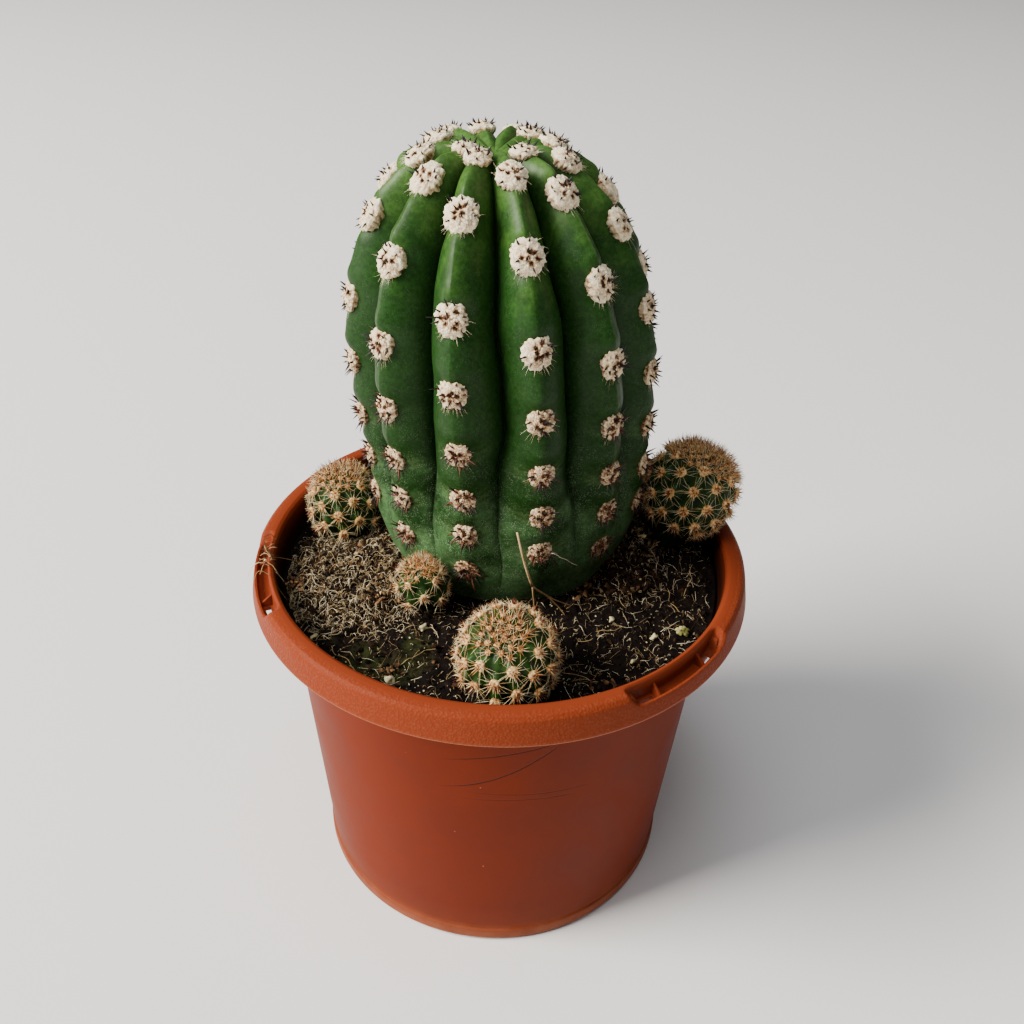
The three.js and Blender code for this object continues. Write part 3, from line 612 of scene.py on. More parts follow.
@dataclass(frozen=True)
class MouldedPlastic:
    """Injection-moulded polypropylene: satin terracotta, leather-grained on the rim band.

    Use has left dust in the corners, pale specks and a few curved scuffs on the wall. The rim band's paler
    colour and the pale tops of its grain are painted light; the rim's inside is darkened by stain and painted
    shade.
    """

    name: str = "moulded_polypropylene"
    colour: str = "#6c250c"
    deep: str = "#63210b"
    # band: painted light, the paler colour of the rim band, which catches more light than the wall
    band: str = "#7b331b"
    # pale: dust, specks and the seam, and the painted highlights on the grain tops
    pale: str = "#c98462"
    dark: str = "#2c0d05"
    # Inside the rim: peat stain and painted shade, dark brown.
    stain_and_shade: str = "#22110b"
    grain_mm: float = 0.62  # pebbles of the band's leather grain
    cloud_mm: float = 26.0  # uneven colour from the flow of the melt
    grit_mm: float = 5.5  # spacing of the pale specks
    dust_mm: float = 9.0  # patches of dust
    peel_mm: float = 0.6  # orange peel of the moulding, drawn coarser than it is
    bump_mm: float = 0.18
    scuffs: tuple[Scuff, ...] = (
        Scuff(91.3, 0.228, 0.0003, -15.0, 16.5, 0.36, 0.9), Scuff(81.3, 0.511, 0.0117, -15.0, 18.5, 0.44, 1.0),
        Scuff(75.2, -0.062, 0.0004, -9.0, 28.0, 0.3, 0.55), Scuff(72.5, -0.009, -0.0016, -9.0, 24.0, 0.3, 0.6),
    )

    def scuff_mask(self, tree: bpy.types.NodeTree, scuff: Scuff, x: Any, z: Any) -> bpy.types.Node:
        """One scuff, 1 on its line and 0 away from it, fading towards its ends.

        Args:
            tree: The material's node tree.
            scuff: The mark.
            x: Place across the wall, in metres.
            z: Height, in metres.

        Returns:
            The node that gives the mask.
        """
        add = partial(add_node, tree)
        bent = add("Math", {0: x, 1: scuff.c / MM, 2: scuff.b}, operation="MULTIPLY_ADD")
        line = add("Math", {0: bent, 1: x, 2: scuff.a * MM}, operation="MULTIPLY_ADD")
        gap = add("Math", {0: z, 1: line}, operation="SUBTRACT")
        off = add("Math", {0: gap}, operation="ABSOLUTE")
        near = add("MapRange", {"Value": off, "From Min": 0.0, "From Max": scuff.width * MM,
                                "To Min": scuff.strength, "To Max": 0.0})
        begun = add("MapRange", {"Value": x, "From Min": scuff.left * MM,
                                 "From Max": (scuff.left + 9.0) * MM})
        ended = add("MapRange", {"Value": x, "From Min": scuff.right * MM,
                                 "From Max": (scuff.right - 3.0) * MM})
        span = add("Math", {0: begun, 1: ended}, operation="MULTIPLY")
        return add("Math", {0: near, 1: span}, operation="MULTIPLY")

    def make(self) -> bpy.types.Material:
        """Build the material from the pot's masks and its own position.

        Returns:
            The material.
        """
        material, tree, shader = blank_material(self.name)
        add = partial(add_node, tree)
        place = add("TexCoord").outputs["Object"]
        masks = {key: add("Attribute", attribute_name=key).outputs["Fac"]
                 for key in ("grain", "band", "stain_and_shade", "dust", "seam", "front")}
        axes = add("SeparateXYZ", {0: place}).outputs
        cloud = add("TexNoise", {"Vector": place, "Scale": 1 / (self.cloud_mm * MM), "Detail": 6.0,
                                 "Roughness": 0.6})
        wall = add("ValToRGB", {0: cloud}, stops=[(0.35, self.deep), (0.62, self.colour)])
        # Painted light: the rim band takes a paler colour, less on the rim's inside.
        lit_band = add("Mix", {0: masks["band"], 6: wall, 7: linear(self.band)}, data_type="RGBA")
        # The inside of the rim darkens: partly peat stain, partly painted shade.
        base = add("Mix", {0: masks["stain_and_shade"], 6: lit_band, 7: linear(self.stain_and_shade)}, data_type="RGBA")
        leather = add("TexVoronoi", {"Vector": place, "Scale": 1 / (self.grain_mm * MM)}, feature="SMOOTH_F1")
        # Painted highlights on the raised tops of the leather grain.
        tops = add("MapRange", {"Value": leather, "From Min": 0.1, "From Max": 0.4,
                                "To Min": 0.09, "To Max": 0.0})
        grain_highlight = add("Math", {0: tops, 1: masks["grain"]}, operation="MULTIPLY")
        grit = add("TexVoronoi", {"Vector": place, "Scale": 1 / (self.grit_mm * MM)})
        specks = add("MapRange", {"Value": grit, "From Min": 0.03, "From Max": 0.06,
                                  "To Min": 0.7, "To Max": 0.0})
        drift = add("TexNoise", {"Vector": place, "Scale": 1 / (self.dust_mm * MM), "Detail": 4.0})
        sparse = add("MapRange", {"Value": drift, "From Min": 0.56, "From Max": 0.64})
        dots = add("Math", {0: specks, 1: sparse}, operation="MULTIPLY")
        # Real dust, plus the painted highlights on the grain tops.
        dust_and_grain_highlight = add("Math", {0: drift, 1: masks["dust"], 2: grain_highlight}, operation="MULTIPLY_ADD")
        edge = add("Math", {0: masks["seam"], 1: 0.75, 2: dust_and_grain_highlight}, operation="MULTIPLY_ADD")
        marks = add("Math", {0: dots, 1: edge}, operation="ADD", use_clamp=True)
        dusted_and_highlit = add("Mix", {0: marks, 6: base, 7: linear(self.pale)}, data_type="RGBA")
        scuffed = None
        for scuff in self.scuffs:
            one = self.scuff_mask(tree, scuff, axes[0], axes[2])
            scuffed = one if scuffed is None else add("Math", {0: scuffed, 1: one}, operation="MAXIMUM")
        seen = add("Math", {0: scuffed, 1: masks["front"]}, operation="MULTIPLY")
        shade = add("Math", {0: seen, 1: 0.95}, operation="MULTIPLY")
        colour = add("Mix", {0: shade, 6: dusted_and_highlit, 7: linear(self.dark)}, data_type="RGBA")
        height = add("Math", {0: leather, 1: masks["grain"]}, operation="MULTIPLY")
        fine = add("TexNoise", {"Vector": place, "Scale": 1 / (self.peel_mm * MM), "Detail": 2.0})
        rough = add("Math", {0: fine, 1: -0.1, 2: height}, operation="MULTIPLY_ADD")
        relief = add("Math", {0: seen, 1: 0.8, 2: rough}, operation="MULTIPLY_ADD")
        bump = add("Bump", {"Height": relief, "Strength": 0.8, "Distance": self.bump_mm * MM}, invert=True)
        gloss = add("MapRange", {"Value": cloud, "From Min": 0.3, "From Max": 0.7,
                                 "To Min": 0.4, "To Max": 0.52})
        feed(tree, shader, {"Base Color": colour, "Normal": bump, "Roughness": gloss, "IOR": 1.49,
                            "Specular IOR Level": 0.05})
        return material


@dataclass(frozen=True)
class MoistPeat:
    """Peat potting mix: near-black, crumbly, with brown bits and an algae film in one place."""

    name: str = "moist_peat"
    tones: tuple[tuple[float, str], ...] = (
        (0.36, "#050302"), (0.56, "#120b08"), (0.7, "#281a13"), (0.84, "#574334"),
    )
    film: str = "#353c1b"
    crumb_mm: float = 2.4
    bump_mm: float = 0.7

    def make(self) -> bpy.types.Material:
        """Build the material from the algae mask and noises of crumb size.

        Returns:
            The material.
        """
        material, tree, shader = blank_material(self.name)
        add = partial(add_node, tree)
        place = add("TexCoord").outputs["Object"]
        algae = add("Attribute", attribute_name="algae").outputs["Fac"]
        crumb = add("TexNoise", {"Vector": place, "Scale": 1 / (self.crumb_mm * MM), "Detail": 8.0,
                                 "Roughness": 0.75})
        base = add("ValToRGB", {0: crumb}, stops=self.tones)
        film = add("Math", {0: crumb, 1: algae}, operation="MULTIPLY")
        coat = add("MapRange", {"Value": film, "From Min": 0.3, "From Max": 0.65, "To Max": 0.7})
        colour = add("Mix", {0: coat, 6: base, 7: linear(self.film)}, data_type="RGBA")
        bump = add("Bump", {"Height": crumb, "Strength": 0.9, "Distance": self.bump_mm * MM})
        feed(tree, shader, {"Base Color": colour, "Normal": bump, "Roughness": 0.92,
                            "Specular IOR Level": 0.1})
        return material


@dataclass(frozen=True)
class Finishes:
    """The finishes of the plant, its litter and its pot."""

    stem_skin: bpy.types.Material  # waxed epidermis of the grown stem: deep green, satin
    offset_skin: bpy.types.Material  # young epidermis: fresh green between the knobs
    wool: bpy.types.Material  # felted wool: cream and matte, brown where it is old
    down: bpy.types.Material  # down of small pads: warm buff and soft
    dark: bpy.types.Material  # horny spines: near-black brown with some gloss
    pale: bpy.types.Material  # straw needles: straw yellow with red-brown ones
    fibre: bpy.types.Material  # dry roots: dark brown to cream, matte
    husk: bpy.types.Material  # bark and husk: dark brown, dull
    wood: bpy.types.Material  # dry twig: weathered buff, dull
    grain: bpy.types.Material  # perlite and lime: chalky off-white
    sprout: bpy.types.Material  # seedling's leaf: dusty olive
    plastic: bpy.types.Material  # moulded polypropylene: satin terracotta
    peat: bpy.types.Material  # moist peat: near black and crumbly


# ---- soil


@dataclass(frozen=True)
class Mound:
    """A soft rise of the soil round a point."""

    x: float
    y: float
    spread: float
    rise: float


@dataclass
class SoilBed:
    """The peat that fills the pot, its crumbs and the pale bits on it."""

    looks: Finishes
    mounds: tuple[Mound, ...] = (
        Mound(1.0, 18.0, 46.0, 5.2), Mound(2.0, -24.0, 13.0, 1.4),
        Mound(-46.0, -4.0, 24.0, 1.6), Mound(52.0, 13.0, 17.0, 8.5),
    )
    floor_radius: float = 55.5
    floor_height: float = 2.7
    wall_top: float = 98.0
    wall_top_radius: float = 62.1
    rings: int = 104
    sectors: int = 400
    algae_x: float = -37.0
    algae_y: float = -45.0
    algae_spread: float = 19.0
    crumbs: int = 5000
    specks: int = 1500

    def height(self, x: Array, y: Array) -> Array:
        """The soil's smooth level: mounds that fade with distance, a slope and two long waves.

        Args:
            x: Places across.
            y: Places in depth.

        Returns:
            Heights.
        """
        rises = sum(m.rise * np.exp(-((x - m.x) ** 2 + (y - m.y) ** 2) / m.spread**2) for m in self.mounds)
        ripple = 0.35 * np.sin(x * 0.14 + y * 0.09) + 0.3 * np.sin(y * 0.17 - x * 0.06)
        return SOIL_LEVEL + rises + ripple - 0.008 * x

    def crumbled(self, x: Array, y: Array) -> Array:
        """The level with clods and crumbs of falling size added.

        Args:
            x: Places across.
            y: Places in depth.

        Returns:
            Heights.
        """
        flat = ground(x, y)
        clods = 0.9 * lattice_noise(flat, 6.5, 31) + 0.75 * lattice_noise(flat, 2.7, 32)
        crumbs = 0.45 * lattice_noise(flat, 1.25, 33)
        edge = smooth((SOIL_RADIUS - np.hypot(x, y)) / 3.0)
        return self.height(x, y) + (clods + crumbs) * (0.3 + 0.7 * edge)

    def algae(self, x: Array, y: Array) -> Array:
        """Strength of the green film at a place.

        Args:
            x: Places across.
            y: Places in depth.

        Returns:
            Strengths from 0 to 1.
        """
        distance = np.hypot(x - self.algae_x, y - self.algae_y) / self.algae_spread
        flat = ground(x, y)
        return smooth(1.25 - distance + 0.5 * lattice_noise(flat, 6.0, 35))

    def build(self) -> None:
        """Make the bed: a flat foot, a side that follows the wall and a crumbled top."""
        angle = np.arange(self.sectors) * TURN / self.sectors
        side_radius = np.array([self.floor_radius - 2.0, self.floor_radius, self.wall_top_radius])
        side_height = np.array([self.floor_height, self.floor_height + 2.0, self.wall_top])
        top_radius = SOIL_RADIUS * (1.0 - (np.arange(self.rings) / self.rings) ** 1.05)
        radius = np.concatenate([side_radius, top_radius])
        x, y = radius[:, None] * np.cos(angle), radius[:, None] * np.sin(angle)
        z = self.crumbled(x, y)
        z[:len(side_radius)] = side_height[:, None]
        centre = self.crumbled(np.zeros(1), np.zeros(1))[0]
        points, faces = capped_grid(np.stack([x, y, z], -1), np.array([0.0, 0.0, self.floor_height]),
                                    np.array([0.0, 0.0, centre]))
        piece = make_piece("soil_bed", points, faces, {"algae": self.algae(points[:, 0], points[:, 1])})
        finish_piece(piece, self.looks.peat, ["soil"])

    def scatter(self, count: int, rng: np.random.Generator, reach: float = 65.0) -> tuple[Array, Array]:
        """Random places on the soil, evenly spread over its area.

        Args:
            count: Number of places.
            rng: Source of the random spread.
            reach: Radius of the area.

        Returns:
            Places across and in depth.
        """
        radius = reach * np.sqrt(rng.uniform(0.0, 1.0, count))
        angle = rng.uniform(0.0, TURN, count)
        return radius * np.cos(angle), radius * np.sin(angle)

    def build_crumbs(self) -> None:
        """Lay crumbs of peat and bark all over the bed, a few large and many small."""
        rng = np.random.default_rng(41)
        count = self.crumbs
        x, y = self.scatter(count, rng)
        size = 0.2 + 0.8 * rng.uniform(0.0, 1.0, count) ** 4
        radii = size[:, None] * rng.uniform([0.8, 0.6, 0.45], [1.5, 1.1, 0.8], (count, 3))
        centres = np.stack([x, y, self.crumbled(x, y) + size * 0.25], -1)
        points, faces = lumps(centres, turned_frames(count, rng), radii, 0.45, 1, 42)
        tone = each_point(rng.normal(0.1, 0.26, count), points)
        piece = make_piece("soil_crumbs", points, faces, {"tone": tone}, False)
        finish_piece(piece, self.looks.husk)

    def build_specks(self) -> None:
        """Sprinkle pale specks of perlite and lime."""
        rng = np.random.default_rng(43)
        count = self.specks
        x, y = self.scatter(count, rng)
        size = 0.1 + 0.2 * rng.uniform(0.0, 1.0, count) ** 3
        centres = np.stack([x, y, self.crumbled(x, y) + size * 0.7], -1)
        radii = size[:, None] * rng.uniform(0.7, 1.2, (count, 3))
        points, faces = lumps(centres, turned_frames(count, rng), radii, 0.3, 1, 44)
        tone = each_point(rng.uniform(0.0, 1.0, count) ** 1.5, points)
        finish_piece(make_piece("soil_specks", points, faces, {"tone": tone}), self.looks.grain)


# ---- areoles: wool, spines and hairs


@dataclass
class Areoles:
    """The places on a skin where wool and spines grow, with a frame for each."""

    points: Array
    east: Array
    up: Array
    out: Array
    radius: Array
    rise: Array
    age: Array
    curd_rise: float = 0.12
    pit_radius: float = 0.13
    pit_depth: float = 0.14
    felt_depth: float = 0.07

    @property
    def frames(self) -> Array:
        """East, up and out of each areole, in rows."""
        return np.stack([self.east, self.up, self.out], axis=1)

    def spot(self, index: Array, across: Array, along: Array, height: Array) -> Array:
        """Points given in the frames of chosen areoles, in the part's own frame."""
        local = np.stack([across, along, height], -1)
        return self.points[index] + np.einsum("ni,nij->nj", local, self.frames[index])

    def dome(self, index: Array, distance: Array) -> Array:
        """Height of an areole's woolly dome at a distance from its middle."""
        share = np.clip(distance / self.radius[index], 0.0, 1.0)
        return self.rise[index] * np.sqrt(1.0 - 0.85 * share**2)

    def pits(self, each: int) -> Array:
        """Places of the middle spines, in shares of the dome's radius, as (areoles, each, 2).

        Args:
            each: Middle spines of an areole.

        Returns:
            The places.
        """
        rng = np.random.default_rng(7 + len(self.points))
        angle = rng.uniform(0.0, TURN, (len(self.points), 1)) + np.arange(each) * TURN / each
        angle += rng.normal(0.0, 0.25, angle.shape)
        reach = rng.uniform(0.12, 0.68, (len(self.points), each))
        return np.stack([reach * np.cos(angle), reach * np.sin(angle)], -1)

    def wool(
        self, curds: int, pits: int, rings: int, sectors: int, seed: int
    ) -> tuple[Array, list[Array], Array]:
        """Woolly domes packed with felted curds.

        Each dome is half an ellipsoid with a short skirt, as a polar grid. A point moves out on a
        curd and in where two curds meet: by its distance to the second nearest curd's middle less
        that to the nearest. Noise roughens it, and it sinks where a middle spine stands.

        Args:
            curds: Curds on each dome.
            pits: Middle spines of each areole.
            rings: Rings of the grid.
            sectors: Points in a ring.
            seed: Choice of the curds' places.

        Returns:
            The points, the faces and the tone at each point.
        """
        rng = np.random.default_rng(seed)
        count = len(self.points)
        polar = np.linspace(math.pi / 2, 0.06, rings)
        share = np.concatenate([[0.8, 0.94], np.sin(polar)])[:, None]
        level = np.concatenate([[-0.85, -0.4], np.cos(polar)])
        angle = np.arange(sectors) * TURN / sectors
        disc = np.stack([share * np.cos(angle), share * np.sin(angle)], -1)
        step = np.arange(curds)
        reach = 1.02 * np.sqrt((step + 0.5) / curds)
        turn = step * GOLDEN_TURN + rng.uniform(0.0, TURN, count)[:, None]
        middles = np.stack([reach * np.cos(turn), reach * np.sin(turn)], -1)
        middles += rng.normal(0.0, 0.3 / math.sqrt(curds), middles.shape)
        gaps = np.linalg.norm(disc[None, :, :, None] - middles[:, None, None], axis=-1)
        first, second = np.moveaxis(np.partition(gaps, 1, axis=-1)[..., :2], -1, 0)
        curd = smooth((second - first) * math.sqrt(curds) / 1.1)
        owner = gaps.argmin(-1)
        holes = np.linalg.norm(disc[None, :, :, None] - self.pits(pits)[:, None, None], axis=-1)
        sunk = np.exp(-((holes / self.pit_radius) ** 2)).max(-1)
        size = rng.uniform(0.6, 1.4, (count, curds))
        bulge = np.take_along_axis(size[:, None], owner, axis=2)
        swell = 1.0 + self.curd_rise * (curd * bulge - 0.6) - self.pit_depth * sunk
        local = np.stack([
            disc[None, ..., 0] * swell * self.radius[:, None, None] * 0.97,
            disc[None, ..., 1] * swell * self.radius[:, None, None] * 1.08,
            level[None, :, None] * swell * self.rise[:, None, None],
        ], -1)
        body = self.points[:, None, None] + np.einsum("nrsi,nij->nrsj", local, self.frames)
        felt = rough_noise(body, (0.9, 0.6, 0.4), seed + 1)
        depth = self.felt_depth * self.radius[:, None, None] * felt
        body += depth[..., None] * unit(body - self.points[:, None, None])
        top = self.points + self.out * self.rise[:, None]
        bottom = self.points - self.out * self.rise[:, None]
        blocks = np.concatenate([body.reshape(count, -1, 3), bottom[:, None], top[:, None]], axis=1)
        faces = capped_grid(body[0], bottom[:1], top[:1])[1]
        shade = np.take_along_axis(rng.normal(0.0, 0.05, (count, curds))[:, None], owner, axis=2)
        # Painted shade in the crevices between curds, in the felt's hollows and under the skirt; the spine pits
        # darken partly as the spines' own brown and partly as painted shade.
        tone = 0.34 * self.age[:, None, None] - 0.12 + shade + 0.34 * (1.0 - curd) + 1.2 * sunk
        tone += 0.36 * np.clip(-felt, 0.0, 1.0)
        tone[:, :3] += 0.25
        tone = np.concatenate([tone.reshape(count, -1), np.full((count, 2), 0.2)], axis=1)
        return (blocks.reshape(-1, 3), repeated(faces, count, blocks.shape[1]),
                np.clip(tone, 0.0, 1.0).ravel())

    def tufts(
        self, index: Array, start: Array, angle: Array, lift: Array, length: Array, thick: Array, bend: Array,
        veer: float | Array = 0.0,
    ) -> tuple[Array, list[Array]]:
        """Spines or hairs that leave chosen areoles.

        A strand starts off the areole's middle at an angle, leans out by its lift and bends on.

        Args:
            index: The areole of each strand.
            start: Distance of its root from the middle.
            angle: Turn round the areole, from east towards up.
            lift: Rise out of the skin for each step along it.
            length: Length.
            thick: Radius at the root.
            bend: Change of the direction towards the part's -Z by the tip.
            veer: Turn of its direction away from the line through the middle.

        Returns:
            The points and the faces.
        """
        root = self.spot(index, start * np.cos(angle), start * np.sin(angle), self.dome(index, start) - 0.6)
        heading = unit(np.stack([np.cos(angle + veer), np.sin(angle + veer), lift], -1))
        direction = np.einsum("ni,nij->nj", heading, self.frames[index])
        share = np.linspace(0.0, 1.0, 4)[None, :, None]
        paths = root[:, None] + direction[:, None] * (share * (length + 0.6)[:, None, None])
        paths[:, :, 2] -= (share[..., 0] ** 2) * (bend * length)[:, None]
        radii = thick[:, None] * np.array([1.0, 0.78, 0.48, 0.06])[None]
        return strands(paths, radii, 4 if thick.mean() > 0.25 else 3)


def strand_tone(tone: Array, points: Array, ramp: Sequence[float]) -> Array:
    """A tone for every point of equal strands, with a change along each.

    Args:
        tone: Tone of each strand.
        points: The strands' points.
        ramp: What is added at each step from root to tip.

    Returns:
        The tones from 0 to 1.
    """
    per_strand = len(points) // len(tone)
    along = np.repeat(np.asarray(ramp, float), (per_strand - 2) // len(ramp))
    along = np.concatenate([along, [ramp[0], ramp[-1]]])
    return np.clip(tone[:, None] + along[None], 0.0, 1.0).ravel()


# ---- main stem


@dataclass
class MainStem:
    """The columnar stem: twelve ribs round a leaning axis, areoles on their crests."""

    looks: Finishes
    axis_y: float = 18.0
    ribs: int = 12
    first_rib_deg: float = -75.5
    groove_mm: float = 11.0
    profile: tuple[tuple[float, float], ...] = (
        (0, 227.6), (5, 229.4), (10, 230.6), (15, 230.2), (20, 228), (24.6, 224.2), (29, 219.3),
        (33.4, 213.5), (37, 206.5), (40.2, 197), (42.4, 186), (43, 175), (42.9, 163), (42.2, 152),
        (41.4, 140), (40.4, 128), (38.8, 118), (36.4, 109), (33.6, 101), (28, 95.5), (17, 92),
        (10, 85), (6.5, 76), (3.5, 66),
    )
    lean: tuple[tuple[float, float], ...] = (
        (90, 1.2), (118, 1.1), (140, 1.0), (167, -0.9), (203, -3.4), (233, -5.4),
    )
    stations: tuple[float, ...] = (4, 14, 32, 57.5, 77, 94.7, 109.7, 122, 135.5)
    phases: tuple[float, ...] = (0.35, 0.6, 0, 0.38, 0.75, 0.35, 0.15, 0, 0.45, 0.05, 0.3, 0.1)
    # How strongly each rib's crest carries the painted highlight.
    crest_highlight: tuple[float, ...] = (0.5, 0.6, 0.05, 0.05, 1.0, 0.8, 0.4, 0.9, 0.2, 0.7, 0.3, 0.8)
    creases: tuple[tuple[float, float], ...] = ((0.0, 0.6), (2.1, 1.0), (4.0, 0.8))
    youngest: float = 9.0
    areole_mm: float = 3.6
    young_growth_mm: float = 1.0
    swell_mm: float = 1.3
    dip_mm: float = 0.3
    crease_mm: float = 0.5
    edge_mm: float = 0.1
    crest_round: float = 0.32
    chin_mm: float = 0.8
    shown_length: float = 168.0
    columns_per_rib: int = 32
    shown_rows: int = 236
    buried_rows: int = 12
    curds: int = 96
    pit_spines: int = 7
    ring_spines: int = 10
    hairs: int = 38
    fringe_hairs: int = 15
    outline: Outline = field(init=False)
    marks: Array = field(init=False)

    def __post_init__(self) -> None:
        """Work out the crest line and each rib's areoles, padded to one length."""
        self.outline = Outline(self.profile)
        found = [self.areoles_of(rib) for rib in range(self.ribs)]
        most = max(len(row) for row in found)
        self.marks = np.array([np.pad(row, (0, most - len(row)), constant_values=1e6) for row in found])

    def areoles_of(self, rib: int) -> Array:
        """Lengths from the crown at which a rib has its areoles; a rib in step has one more at the foot.

        Args:
            rib: Number of the rib.

        Returns:
            The lengths.
        """
        stations = np.array(self.stations)
        spots = stations[:-1] + self.phases[rib] * np.diff(stations)
        spots = np.append(spots, stations[-1:] if self.phases[rib] == 0 else [])
        return spots[spots > self.youngest]

    def axis_x(self, height: Array) -> Array:
        """The leaning axis' place at a height."""
        heights, places = np.array(self.lean).T
        return np.interp(height, heights, places)

    def rib_angle(self, rib: Array) -> Array:
        """Turn of a rib's crest about the axis, 0 towards -Y and growing towards +X."""
        return np.radians(self.first_rib_deg + rib * 360.0 / self.ribs)

    def around(self, angle: Array, radius: Array, height: Array) -> Array:
        """A point at a turn, radius and height about the leaning axis."""
        x = self.axis_x(height) + radius * np.sin(angle)
        return np.stack([x, self.axis_y - radius * np.cos(angle), height], -1)

    def groove_depth(self, along: Array) -> Array:
        """Depth of the grooves: none at the crown, deep below it, shallow at the foot."""
        return self.groove_mm * smooth(along / 38.0) * (1.0 - smooth((along - 72.0) / 76.0))

    def section(self, across: Array) -> Array:
        """A rib's section, from 0 on its rounded crest to 1 in the groove: broad, then falling steeply.

        Args:
            across: Share of the way from the crest to the groove.

        Returns:
            Shares of the groove's depth.
        """
        u = np.clip(np.abs(across), 0.0, 1.0)
        reach = math.hypot(1.0, self.crest_round) - self.crest_round
        soft = (np.hypot(u, self.crest_round) - self.crest_round) / reach
        return 0.42 * soft + 0.58 * (1.0 - np.sqrt(1.0 - u**2))

    def nearest(self, rib: Array, along: Array) -> Array:
        """Distance along the crest to the nearest areole."""
        return np.abs(self.marks[rib] - along[..., None]).min(-1)

    def swell(self, rib: Array, along: Array) -> Array:
        """The crest stands out between two areoles and dips at each."""
        return self.swell_mm * smooth(self.nearest(rib, along) / 8.0) - self.dip_mm

    def chin(self, rib: Array, along: Array) -> Array:
        """The soft bulge that overhangs each areole from the crown's side."""
        gap = along[..., None] - self.marks[rib] + 5.6
        return self.chin_mm * np.exp(-((gap / 3.2) ** 2)).sum(-1) * (1.0 - 0.7 * smooth((along - 70.0) / 50.0))

    def sway(self, rib: Array, across: Array, along: Array) -> Array:
        """Sideways wander of the grooves, in shares of half a rib; the crests stay in place.

        Args:
            rib: Rib at each point.
            across: Share of the way to the groove.
            along: Length from the crown.

        Returns:
            The shifts.
        """
        groove = (rib + (across > 0.0)) % self.ribs
        spots = np.stack([along / 15.0, groove * 3.7, np.zeros_like(along)], -1)
        return 0.17 * np.abs(across) * lattice_noise(spots, 1.0, 57) * smooth((along - 12.0) / 20.0)

    def wrinkles(self, rib: Array, across: Array, along: Array) -> Array:
        """Creases that rise sideways from under the lower areoles, three on each flank.

        Args:
            rib: Rib at each point.
            across: Share of the way to the groove.
            along: Length from the crown.

        Returns:
            Strengths, 1 in a plain crease.
        """
        u = np.abs(across)
        gap = along[..., None] - self.marks[rib] + (4.5 * u - 0.8)[..., None]
        crease = sum(share * np.exp(-(((gap - step) / 0.7) ** 2)).sum(-1) for step, share in self.creases)
        reach = smooth((u - 0.12) / 0.16) * (1.0 - smooth((u - 0.5) / 0.35))
        uneven = 0.75 + 0.6 * lattice_noise(np.stack([along / 3.0, rib * 2.3 + (across > 0), u], -1), 1.0, 58)
        return crease * reach * uneven * smooth((along - 80.0) / 30.0)

    def build_skin(self) -> None:
        """Make the stem's skin: rows down the crest line, columns closer at crests and grooves."""
        step = np.arange(self.columns_per_rib) / self.columns_per_rib * 2.0 - 1.0
        across = np.tile(step - 0.11 * np.sin(TURN * step), self.ribs)
        rib = np.repeat(np.arange(self.ribs), self.columns_per_rib)
        shown = self.shown_length * (np.arange(self.shown_rows) + 0.6) / self.shown_rows
        buried = np.linspace(self.shown_length + 2.0, self.outline.length - 0.5, self.buried_rows)
        along = np.concatenate([shown, buried])[::-1]
        grid_along, grid_across = np.broadcast_arrays(along[:, None], across[None])
        grid_rib = np.broadcast_to(rib[None], grid_along.shape)
        radius, height, out_r, out_z = self.outline.at(grid_along)
        fade = smooth(grid_along / 30.0) * (1.0 - smooth((grid_along - 130.0) / 20.0))
        swell = self.swell(grid_rib, grid_along)
        u = np.abs(grid_across)
        relief = (swell + self.chin(grid_rib, grid_along)) * (1.0 - u) * fade
        between = smooth(self.nearest(grid_rib, grid_along) / 6.5)
        # The crest line is a low ridge and, in the line mask, a painted highlight along the crest.
        line = np.exp(-((grid_across / 0.025) ** 2)) * between * smooth((grid_along - 18.0) / 16.0)
        line *= np.array(self.crest_highlight)[grid_rib]
        creased = self.wrinkles(grid_rib, grid_across, grid_along)
        relief += self.edge_mm * line - self.crease_mm * creased
        inward = self.groove_depth(grid_along) * self.section(grid_across) - relief
        shifted = grid_across + self.sway(grid_rib, grid_across, grid_along)
        angle = self.rib_angle(grid_rib) + shifted * math.pi / self.ribs
        points = self.around(angle, np.maximum(0.2, radius - out_r * inward), height - out_z * inward)
        uneven = rough_noise(points, (9.0, 3.5), 51) * smooth((grid_along - 6.0) / 10.0)
        points += 0.12 * uneven[..., None] * np.stack([np.sin(angle), -np.cos(angle), 0.3 * out_z], -1)
        depth = smooth(self.groove_depth(grid_along) / 5.0)
        masks = {
            "age": smooth((grid_along - 4.0) / 158.0) + 0.05 * (1 - between) + 0.08 * u,
            # groove: painted shade, darker where the groove is deep; line: painted highlight on the crests and
            # on the creases' upper edges.
            "groove": 0.65 * (0.2 + 0.8 * depth) * smooth((u - 0.6) / 0.4) ** 1.5,
            "line": 0.16 * line + 0.3 * self.wrinkles(grid_rib, grid_across, grid_along + 0.9),
            "dust": smooth((grid_along - 84.0) / 58.0),
        }
        top, bottom = self.profile[0][1], self.profile[-1][1]
        tip = np.array([self.axis_x(bottom), self.axis_y, bottom - 1.8])
        crown = np.array([self.axis_x(top), self.axis_y, top + 0.1])
        flat, faces = capped_grid(points, tip, crown)
        ends = {key: np.append(value.ravel(), [1.0, 0.0]) for key, value in masks.items()}
        piece = make_piece("stem_skin", flat, faces, ends)
        finish_piece(piece, self.looks.stem_skin, ["main_stem"])

